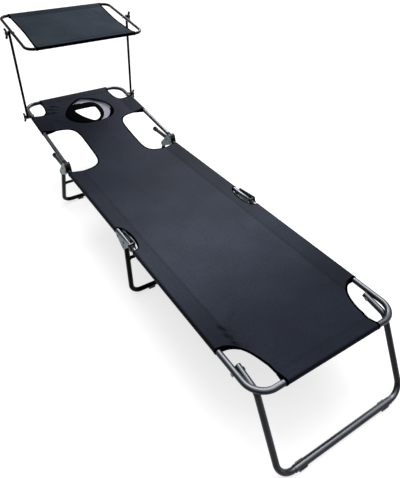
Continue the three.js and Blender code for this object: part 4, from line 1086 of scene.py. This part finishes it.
class LOUNGER_OT_bed_cloth(bpy.types.Operator):
    """Cut, bind and stitch the bed's cloth from the foot bar to the head bar"""

    bl_idname = "lounger.bed_cloth"
    bl_label = "Bed cloth"

    def execute(self, context):
        sizes = context.scene.lounger_sizes
        self.foot(sizes)
        self.head(sizes)
        return {"FINISHED"}

    def foot(self, sizes):
        surface = foot_surface(sizes)
        cuts = corner_cuts(surface, over(surface, FOOT_BAR_Y), 1, CORNER_CUT)
        middle = over(surface, FOLD_PIN.y + HINGE_CUT["past_pin"])
        half = HINGE_CUT["half"]
        distances = middle + eased_steps(-half, half)
        half_width = HINGE_CUT["inset"] * squared_oval((distances - middle) / half, HINGE_CUT["exponent"])
        cuts += [side_cut(surface, distances, half_width, side) for side in SIDES.values()]
        dress_bed(
            "foot_cloth", surface, cuts, (0.0, END_ZONE), over(surface, FOOT_BAR_Y + END_SEAM_INSET),
            ["foot_fabric"], sizes,
        )

    def head(self, sizes):
        surface = head_surface(sizes)
        tongue = over(surface, TONGUE[0])
        root = over(surface, ROOT_Y)
        scale = (tongue - root) / (ARM_CUT["before_pin"] + ARM_CUT["past_pin"])
        widest = root + (ARM_CUT["before_pin"] + ARM_CUT["widest"]) * scale
        distances = eased_steps(root, tongue)
        before = squared_oval((distances - widest) / (widest - root), ARM_CUT["exponent"])
        after = squared_oval((distances - widest) / (tongue - widest), ARM_CUT["exponent"])
        half_width = ARM_CUT["inset"] * np.where(distances < widest, before, after)
        cuts = [side_cut(surface, distances, half_width, side) for side in SIDES.values()]
        cuts += corner_cuts(surface, over(surface, head_place(HEAD_LENGTH)[0]), -1, HEAD_CORNER_CUT)
        turns = np.linspace(0, 2 * math.pi, FACE_HOLE_TURNS, endpoint=False)
        widest = over(surface, head_place(FACE_HOLE["widest"])[0])
        hole = oval_points(turns, {**FACE_HOLE, "widest": widest}, FACE_HOLE_EXPONENTS)
        length = surface.along.length
        dress_bed(
            "head_cloth", surface, cuts + [hole], (length - END_ZONE, length),
            over(surface, head_place(HEAD_LENGTH - END_SEAM_INSET)[0]),
            ["mid_fabric", "head_fabric"],
            sizes,
        )
        self.lining(surface, hole, turns, sizes)

    def lining(self, surface, hole, turns, sizes):
        """The pale band from the face opening down to the pad's outer edge, and the dark hem over it, which
        widens on one side into painted shade.
        """
        down = -surface.normals(hole)
        upper = surface.place(hole) + down * sizes.thickness
        lower = on_head(oval_points(turns, PAD_EDGE, PAD_EDGE_EXPONENTS), PAD_LEVEL)
        piece, length, width = ring_band("face_opening_lining", upper, lower, down * LINING_BELLY, "lining")
        inward = lower - upper
        inward /= np.linalg.norm(inward, axis=1)[:, None]
        # The hem is narrow all round and widens on one side as painted shade
        reach = HEM_LEAST + HEM_SHADE_WIDTH * np.clip(np.cos(turns + HEM_TURN), 0, 1) ** HEM_FALL
        rim, end = upper - down * sizes.thickness, upper + inward * reach[:, None] + down * HEM_DROP
        hem, _, _ = ring_band("face_opening_hem_and_shade", rim, end, down * HEM_DROP / 2, "tape")
        for band in (piece, hem):
            thicken(band, sizes.thickness / 2)
            sharpen(band, RIM_DEGREES)
            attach(band, "head_section")


# Tubes


BEND_ANGLE = math.radians(5)
TUBE_SIDES = 28
LEG_BEND = 0.038
FRAME_BEND = 0.060
CANOPY_BEND = 0.038
TUBE_WALL = 0.0012
END_DEPTH = 0.012
END_ROUND = 0.0004
STRUT_RADIUS = 0.0065
CROSSBAR_HALF = 0.195
CROSSBAR_LAP = 0.038
CROSSBAR_RADIUS = 0.011
FOOT_LEG_X = 0.2455
FOOT_LEG_STUB = 0.015
FOOT_ARM_SLOPE = math.radians(11)
FOOT_LEG_LEAN = math.radians(29.3)
FOOT_ARM_BEND = 0.030
FOOT_LEG_BEND = 0.048
LEG_END = 0.009
HUNG_LEGS = {
    "middle_leg": {"joint": "middle_leg_fold", "lean": math.radians(-1.5), "strut": 0.062},
    "head_leg": {"joint": "head_leg_fold", "lean": math.radians(24.3), "strut": 0.092},
}
RAIL_STUB = 0.172
RAIL_END_PAST_PIN = 0.006
BUTT_HALF = 0.0005
WELD_REACH = 0.0045
WELD_RISE = 0.0022
WELD_RINGS = ((0.0, 1.0), (0.35, 0.8), (0.7, 0.3), (1.0, 0.0))
WELD_SCALLOP = 0.00035
WELD_SCALLOPS = 7
STEEP_SHARE = 0.9
TUBE_DEGREES = 40


def bent_path(corners, bends, closed=False):
    """Points of a tube's centre line, with its corners rounded."""
    corners = [Vector(corner) for corner in corners]
    out = []
    for i, corner in enumerate(corners):
        if not closed and i in (0, len(corners) - 1):
            out.append(corner)
            continue
        bend = bends[i - (0 if closed else 1)]
        arriving = (corner - corners[i - 1]).normalized()
        leaving = (corners[(i + 1) % len(corners)] - corner).normalized()
        turn = arriving.angle(leaving)
        start = corner - arriving * bend * math.tan(turn / 2)
        inward = (leaving - arriving * leaving.dot(arriving)).normalized()
        centre = start + inward * bend
        steps = math.ceil(turn / BEND_ANGLE)
        for k in range(steps + 1):
            angle = turn * k / steps
            out.append(centre - inward * bend * math.cos(angle) + arriving * bend * math.sin(angle))
    return out


def upright(run):
    """A direction to measure turns from, which isn't along the run."""
    return Vector((0, 0, 1)) if abs(run.z) < STEEP_SHARE else Vector((0, 1, 0))


def round_points(run, up):
    """The directions round a run, one for each side of a tube, from its own up."""
    side = run.cross(up)
    angles = [2 * math.pi * k / TUBE_SIDES for k in range(TUBE_SIDES)]
    return [side * math.cos(angle) + up * math.sin(angle) for angle in angles]


def rings_along(places, runs, radii):
    """Rings of vertices round a path, carried along it without a twist."""
    up = upright(runs[0])
    vertices = []
    for place, run, radius in zip(places, runs, radii):
        up = (up - run * up.dot(run)).normalized()
        vertices += [place + way * radius for way in round_points(run, up)]
    return vertices


def swept(points, radius, closed=False):
    """The skin of a bar or ring, with open ends: its vertices and faces."""
    count = len(points)
    ahead = []
    for i in range(count):
        after = points[(i + 1) % count] if closed or i < count - 1 else points[i]
        before = points[i - 1] if closed or i else points[i]
        ahead.append((after - before).normalized())
    return rings_along(points, ahead, [radius] * count), ring_faces(count, TUBE_SIDES, closed)


def tube_skin(points, radius):
    """The skin of a tube's length, with a rolled rim and a dark bore at both ends."""
    first, last = points[0], points[-1]
    run_first = (points[1] - first).normalized()
    run_last = (last - points[-2]).normalized()
    bore = radius - TUBE_WALL
    places = [first + run_first * END_DEPTH, first, first, first + run_first * END_ROUND, *points[1:-1]]
    places += [last - run_last * END_ROUND, last, last, last - run_last * END_DEPTH]
    middle = [(b - a).normalized() for a, b in zip(points[:-2], points[2:])]
    rims = [bore, bore, radius - END_ROUND]
    radii = rims + [radius] * len(points) + rims[::-1]
    vertices = rings_along(places, [run_first] * 4 + middle + [run_last] * 4, radii)
    return vertices, ring_faces(len(places), TUBE_SIDES) + end_faces(len(places), TUBE_SIDES)


def weld_skin(place, along, radius):
    """The skin of a bead of weld round a strut's end: a cone with a scalloped edge."""
    up = upright(along)
    ways = round_points(along, (up - along * up.dot(along)).normalized())
    vertices = []
    for step, (reach_share, rise_share) in enumerate(WELD_RINGS):
        for k, way in enumerate(ways):
            turn = WELD_SCALLOPS * 2 * math.pi * k / TUBE_SIDES + step
            scallop = WELD_SCALLOP * math.sin(turn) * (1 - reach_share)
            reach = radius + WELD_RISE * rise_share + scallop
            vertices.append(place + along * WELD_REACH * reach_share + way * reach)
    return vertices, ring_faces(len(WELD_RINGS), TUBE_SIDES)


def joined(skins):
    """Several skins as one list of vertices and faces."""
    vertices, faces = [], []
    for more, shapes in skins:
        first = len(vertices)
        vertices += more
        faces += [tuple(first + i for i in face) for face in shapes]
    return vertices, faces


def steel_piece(name, skins, slot, body, node):
    """One piece of steel from several skins, which stands for one of the frame's nodes."""
    piece = new_piece(name, *joined(skins), slot)
    face_outwards(piece)
    sharpen(piece, TUBE_DEGREES)
    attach(piece, body)
    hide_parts(node)


def u_path(end, bar, bend):
    """The path of a tube up one side, across its bar and back, from the y and z of its ends and bar."""
    return bent_path([(-RAIL_X, *end), (-RAIL_X, *bar), (RAIL_X, *bar), (RAIL_X, *end)], [bend] * 2)


def level_bar(half, place):
    return [Vector((x, place.y, place.z)) for x in (-half, 0, half)]


class LOUNGER_OT_tubes(bpy.types.Operator):
    """Draw the bent tubes finely, with open ends and welded struts"""

    bl_idname = "lounger.tubes"
    bl_label = "Bent tubes"

    def execute(self, context):
        self.rails()
        self.foot_leg()
        for name, leg in HUNG_LEGS.items():
            self.hung_leg(name, **leg)
        self.canopy()
        return {"FINISHED"}

    def rails(self):
        foot = u_path((FOLD_PIN.y - BUTT_HALF, RAIL_Z), (FOOT_BAR_Y, RAIL_Z), FRAME_BEND)
        head = u_path(head_place(-RAIL_END_PAST_PIN), head_place(HEAD_LENGTH), FRAME_BEND)
        for part, path in (("foot", foot), ("head", head)):
            skin = tube_skin(path, RAIL_RADIUS)
            steel_piece(f"{part}_frame_tube", [skin], "tube_steel", f"{part}_section", f"{part}_frame")
        for label, side in SIDES.items():
            stops = (FOLD_PIN.y + BUTT_HALF, HEAD_PIN.y, HEAD_PIN.y + RAIL_STUB)
            skin = tube_skin([Vector((side * RAIL_X, y, RAIL_Z)) for y in stops], RAIL_RADIUS)
            node = f"mid_rail_{label}"
            steel_piece(f"mid_rail_tube_{label}", [skin], "tube_steel", "middle_section", node)

    def foot_leg(self):
        pivot = Vector(JOINTS["foot_leg_fold"]["pos_m"])
        low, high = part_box("foot_crossbar")
        floor = (low + high) / 2
        arm = Vector((0, math.cos(FOOT_ARM_SLOPE), math.sin(FOOT_ARM_SLOPE)))
        leg = Vector((0, math.sin(FOOT_LEG_LEAN), math.cos(FOOT_LEG_LEAN)))
        gap = pivot - floor
        reach = (gap.y * arm.z - gap.z * arm.y) / (leg.y * arm.z - leg.z * arm.y)
        elbow = floor + leg * reach
        stub = pivot + arm * FOOT_LEG_STUB
        for label, side in SIDES.items():
            corners = [(side * FOOT_LEG_X, place.y, place.z) for place in (stub, elbow, floor)]
            corners.append((side * (CROSSBAR_HALF - CROSSBAR_LAP), floor.y, floor.z))
            skin = tube_skin(bent_path(corners, [FOOT_ARM_BEND, FOOT_LEG_BEND]), RAIL_RADIUS)
            node = f"foot_leg_side_{label}"
            steel_piece(f"foot_leg_tube_{label}", [skin], "tube_steel", "foot_leg", node)
        skin = tube_skin(level_bar(CROSSBAR_HALF, floor), CROSSBAR_RADIUS)
        steel_piece("foot_crossbar_tube", [skin], "tube_steel", "foot_leg", "foot_crossbar")

    def hung_leg(self, name, joint, lean, strut):
        pivot = Vector(JOINTS[joint]["pos_m"])
        down = Vector((0, math.sin(lean), -math.cos(lean)))
        top = pivot - down * LEG_END
        bar_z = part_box(f"{name}_frame")[0].z + RAIL_RADIUS
        floor = pivot + down * ((bar_z - pivot.z) / down.z)
        tie = pivot + down * strut
        frame_skin = tube_skin(u_path((top.y, top.z), (floor.y, floor.z), LEG_BEND), RAIL_RADIUS)
        skins = [frame_skin, swept(level_bar(RAIL_X, tie), STRUT_RADIUS)]
        for side in SIDES.values():
            place = Vector((side * (RAIL_X - RAIL_RADIUS + WELD_RISE / 2), tie.y, tie.z))
            skins.append(weld_skin(place, Vector((-side, 0, 0)), STRUT_RADIUS))
        steel_piece(f"{name}_tube", skins, "dark_tube_steel", name, f"{name}_frame")

    def canopy(self):
        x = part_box("canopy_frame")[1].x - CANOPY_TUBE_RADIUS
        front, back = canopy_place(-CANOPY_HALF_LENGTH), canopy_place(CANOPY_HALF_LENGTH)
        corners = [(-x, *front), (x, *front), (x, *back), (-x, *back)]
        skin = swept(bent_path(corners, [CANOPY_BEND] * 4, True), CANOPY_TUBE_RADIUS, True)
        steel_piece("canopy_frame_tube", [skin], "dark_tube_steel", "canopy", "canopy_frame")


# The face pad


PAD_VOXEL = 0.004
PAD_PRESSURE = 4.0
PAD_FRAMES = 20
PAD_CAP = 0.003
PAD_QUALITY = 6


class LOUNGER_OT_face_pad(bpy.types.Operator):
    """Fill the padded ring under the face opening"""

    bl_idname = "lounger.face_pad"
    bl_label = "Face pad"

    def execute(self, context):
        pad = self.ring()
        voxels = pad.modifiers.new("voxels", "REMESH")
        voxels.mode = "VOXEL"
        voxels.voxel_size = PAD_VOXEL
        settle(pad)
        self.swell(context, pad)
        soft = pad.modifiers.new("soft", "SUBSURF")
        soft.levels = 1
        settle(pad)
        pad.data.shade_smooth()
        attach(pad, "head_section")
        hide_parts("face_pad")
        return {"FINISHED"}

    def ring(self):
        """The pad before it is filled: a flat ring with a rounded section."""
        turns = np.linspace(0, 2 * math.pi, PAD_TURNS, endpoint=False)
        outer = oval_points(turns, PAD_EDGE, PAD_EDGE_EXPONENTS)
        inner = oval_points(turns, PAD_OPENING, PAD_OPENING_EXPONENTS)
        power = 2 / PAD_SECTION_EXPONENT
        vertices = []
        for angle in np.linspace(0, 2 * math.pi, PAD_SECTION_TURNS, endpoint=False):
            share = (1 + math.copysign(abs(math.cos(angle)) ** power, math.cos(angle))) / 2
            height = PAD_HALF * math.copysign(abs(math.sin(angle)) ** power, math.sin(angle))
            vertices += list(on_head(inner + (outer - inner) * share, PAD_LEVEL + height))
        faces = ring_faces(PAD_SECTION_TURNS, PAD_TURNS, True)
        pad = new_piece("face_pad_cushion", vertices, faces, "pad_cloth")
        face_outwards(pad)
        return pad

    def swell(self, context, pad):
        start = np.zeros(len(pad.data.vertices) * 3)
        pad.data.vertices.foreach_get("co", start)
        cloth = pad.modifiers.new("cloth", "CLOTH")
        cloth.settings.use_pressure = True
        cloth.settings.uniform_pressure_force = PAD_PRESSURE
        cloth.settings.effector_weights.gravity = 0
        cloth.settings.quality = PAD_QUALITY
        cloth.point_cache.frame_end = PAD_FRAMES
        for number in range(1, PAD_FRAMES + 1):
            context.scene.frame_set(number)
        settle(pad)
        context.scene.frame_set(1)
        end = np.zeros_like(start)
        pad.data.vertices.foreach_get("co", end)
        move = (end - start).reshape(-1, 3)
        far = np.linalg.norm(move, axis=1)
        move *= np.minimum(1, PAD_CAP / np.maximum(far, TINY))[:, None]
        pad.data.vertices.foreach_set("co", (start.reshape(-1, 3) + move).ravel())
        pad.data.update()


# The canopy


CANOPY_SAG = 0.005
CANOPY_SIDE_SHARE = 0.4
CANOPY_EDGE_DIP = 0.006
CANOPY_EDGE_TURNS = 60
CANOPY_WAVES = ((14, 40, 0.0, 0.4), (-31, 23, 1.3, 0.6))
CANOPY_WAVE_HEIGHT = 0.0012
CREASE = {"x": 0.17, "width": 0.03, "along_share": 0.86, "long_share": 0.12, "turns": 160, "height": 0.0016}
CANOPY_LINE_SHARE = 0.5
CANOPY_FLAT_END = 0.02
CANOPY_ROW_END = 0.012
CANOPY_ROW_OFFSETS = (-0.002, 0.003)


class LOUNGER_OT_canopy_cloth(bpy.types.Operator):
    """Stretch the canopy's cloth between its front and back bars, and hem its sides"""

    bl_idname = "lounger.canopy_cloth"
    bl_label = "Canopy cloth"

    def execute(self, context):
        sizes = context.scene.lounger_sizes
        thickness = sizes.canopy_thickness
        turn = wrap(CANOPY_TUBE_RADIUS + TUBE_GAP + thickness / 2, CANOPY_SEAM_INSET, thickness)
        back = [canopy_place(CANOPY_HALF_LENGTH + u, v) for u, v in turn]
        front = [canopy_place(-CANOPY_HALF_LENGTH - u, v) for u, v in turn][::-1]
        path = Line(front + filled([front[-1], back[0]])[1:] + back[1:])
        half = CANOPY_CLOTH_HALF_WIDTH
        seams = Line(front).length, path.length - Line(back).length

        def share_along(along):
            return np.clip((along - seams[0]) / (seams[1] - seams[0]), 0, 1)

        def relief(x, y, across, along):
            share = share_along(along)
            middle = 4 * share * (1 - share)
            sag = -CANOPY_SAG * middle * (1 - CANOPY_SIDE_SHARE * (x / half) ** 2)
            aside, ahead = x - CREASE["x"], share - CREASE["along_share"]
            corner = np.exp(-((aside / CREASE["width"]) ** 2) - (ahead / CREASE["long_share"]) ** 2)
            crease = CREASE["height"] * np.sin(aside * CREASE["turns"]) * corner * np.sqrt(middle)
            return sag + CANOPY_WAVE_HEIGHT * middle * waves(x, along, CANOPY_WAVES) + crease

        surface = Surface(Line([(0.0, 0.0), (half, 0.0)]), path, relief)
        distances = np.linspace(-CLOTH_STEP, path.length + CLOTH_STEP, CANOPY_EDGE_TURNS)
        share = share_along(distances)
        edge = half - CANOPY_EDGE_DIP * 4 * share * (1 - share)
        margin = np.full_like(edge, half + CLOTH_STEP)
        outline = np.concatenate([
            np.column_stack([edge, distances]), np.column_stack([margin, distances])[::-1],
        ])
        cuts = [outline * [side, 1] for side in SIDES.values()]
        zones = [(CANOPY_FLAT_END, seams[0]), (seams[1], path.length - CANOPY_FLAT_END)]
        cut = cut_cloth(surface, cuts, half * CANOPY_LINE_SHARE, [], zones)
        x = np.arange(-half + CANOPY_ROW_END, half - CANOPY_ROW_END, ROW_STEP)
        rows = [
            np.column_stack([x, np.full_like(x, place + offset)])
            for place in seams for offset in CANOPY_ROW_OFFSETS
        ]
        cloth, tape, stitches, area = sewn_cloth(
            "canopy_cloth", surface, cut, rows, "canopy", thickness, sizes,
        )
        for piece in (cloth, tape, stitches):
            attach(piece, "canopy")
        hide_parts("canopy_fabric")
        return {"FINISHED"}


# Steel and plastic


class LOUNGER_OT_finishes(bpy.types.Operator):
    """Give the frame's steel, zinc and plastic parts their finishes"""

    bl_idname = "lounger.finishes"
    bl_label = "Steel and plastic finishes"

    def execute(self, context):
        for node in frame["nodes"].values():
            slot = node.data.materials[0].name
            node.data.materials.clear()
            node.data.materials.append(material(slot))
        return {"FINISHED"}


# The stage


CAMERA_PLACE = (-0.7407, -1.3879, 1.2840)
CAMERA_YAW = math.radians(32.46)
CAMERA_PITCH = math.radians(-38.0)
CAMERA_LENS = 34.404
CAMERA_SHIFT = (0.0119, -0.0078)
SENSOR = 36.0
FLOOR_HALF = 30.0
KEY_WAY = (0.2, 0.3, 1.0)
KEY_SPREAD = math.radians(40)
KEY_POWER = 1.5
GLOW_PLACE = (0.70, 1.00, 1.35)
GLOW_TARGET = (0.0, 0.0, 0.27)
GLOW_SIZE = 0.9
GLOW_POWER = 19.0
SKY = {0.0: 0.10, 0.5: 0.20, 1.0: 1.60}
BACKDROP = 0.98


def studio():
    """Soft light from above, darker towards the walls, with a plain pale backdrop behind the floor."""
    nodes = Nodes("studio", "worlds")
    overhead = nodes.tree.nodes["Background"]
    place = nodes.add("ShaderNodeTexCoord").outputs["Generated"]
    height = nodes.add("ShaderNodeSeparateXYZ", {0: place}).outputs["Z"]
    sky = nodes.ramp(height, {rise: [light] * 3 for rise, light in SKY.items()})
    nodes.feed(overhead.inputs["Color"], sky)
    backdrop = nodes.add("ShaderNodeBackground", {"Color": [*[BACKDROP] * 3, 1]}).outputs[0]
    seen = nodes.add("ShaderNodeLightPath").outputs["Is Camera Ray"]
    mixed = nodes.add("ShaderNodeMixShader", {0: seen, 1: overhead.outputs[0], 2: backdrop}).outputs[0]
    nodes.feed(nodes.tree.nodes["World Output"].inputs["Surface"], mixed)
    return nodes.owner


def lamp(name, kind, place, target, **settings):
    light = bpy.data.lights.new(name, kind)
    for key, value in settings.items():
        setattr(light, key, value)
    holder = bpy.data.objects.new(name, light)
    holder.location = place
    holder.rotation_euler = (Vector(place) - Vector(target)).to_track_quat("Z", "Y").to_euler()
    bpy.context.scene.collection.objects.link(holder)
    return holder


class LOUNGER_OT_stage(bpy.types.Operator):
    """Make the pale floor, the soft light and the camera"""

    bl_idname = "lounger.stage"
    bl_label = "Stage"

    def execute(self, context):
        scene = context.scene
        corners = [(x * FLOOR_HALF, y * FLOOR_HALF, 0) for x, y in ((-1, -1), (1, -1), (1, 1), (-1, 1))]
        floor = new_piece("floor", corners, [(0, 1, 2, 3)], "floor")
        scene.world = studio()
        lamp("key", "SUN", KEY_WAY, (0, 0, 0), angle=KEY_SPREAD, energy=KEY_POWER)
        glow = lamp("glow", "AREA", GLOW_PLACE, GLOW_TARGET, size=GLOW_SIZE, energy=GLOW_POWER)
        glow.visible_camera = False
        scene.view_settings.view_transform = "Standard"
        lens = bpy.data.cameras.new("camera")
        lens.sensor_width = SENSOR
        lens.lens = CAMERA_LENS
        lens.shift_x, lens.shift_y = CAMERA_SHIFT
        camera = bpy.data.objects.new("camera", lens)
        camera.location = CAMERA_PLACE
        ahead = Vector((
            math.sin(CAMERA_YAW) * math.cos(CAMERA_PITCH),
            math.cos(CAMERA_YAW) * math.cos(CAMERA_PITCH),
            math.sin(CAMERA_PITCH),
        ))
        camera.rotation_euler = ahead.to_track_quat("-Z", "Y").to_euler()
        scene.collection.objects.link(camera)
        scene.camera = camera
        return {"FINISHED"}


class LOUNGER_PT_panel(bpy.types.Panel):
    """The lounger's pieces and sizes"""

    bl_idname = "LOUNGER_PT_panel"
    bl_label = "Sun lounger"
    bl_space_type = "VIEW_3D"
    bl_region_type = "UI"
    bl_category = "Lounger"

    def draw(self, context):
        for group in (context.scene.lounger_sizes, context.scene.lounger_colours):
            for key in group.__annotations__:
                self.layout.prop(group, key)
        for operator in OPERATORS:
            self.layout.operator(operator.bl_idname)


OPERATORS = (
    LOUNGER_OT_finishes,
    LOUNGER_OT_tubes,
    LOUNGER_OT_bed_cloth,
    LOUNGER_OT_face_pad,
    LOUNGER_OT_canopy_cloth,
    LOUNGER_OT_stage,
)
GROUPS = (ClothSizes, FinishColours)


def register():
    for kind in (*GROUPS, *OPERATORS, LOUNGER_PT_panel):
        bpy.utils.register_class(kind)
    bpy.types.Scene.lounger_sizes = PointerProperty(type=ClothSizes)
    bpy.types.Scene.lounger_colours = PointerProperty(type=FinishColours)


def unregister():
    del bpy.types.Scene.lounger_colours
    del bpy.types.Scene.lounger_sizes
    for kind in (LOUNGER_PT_panel, *reversed(OPERATORS), *reversed(GROUPS)):
        bpy.utils.unregister_class(kind)


def main():
    register()
    bpy.ops.lounger.finishes()
    bpy.ops.lounger.tubes()
    bpy.ops.lounger.bed_cloth()
    bpy.ops.lounger.face_pad()
    bpy.ops.lounger.canopy_cloth()
    bpy.ops.lounger.stage()


if __name__ == "__main__":
    main()
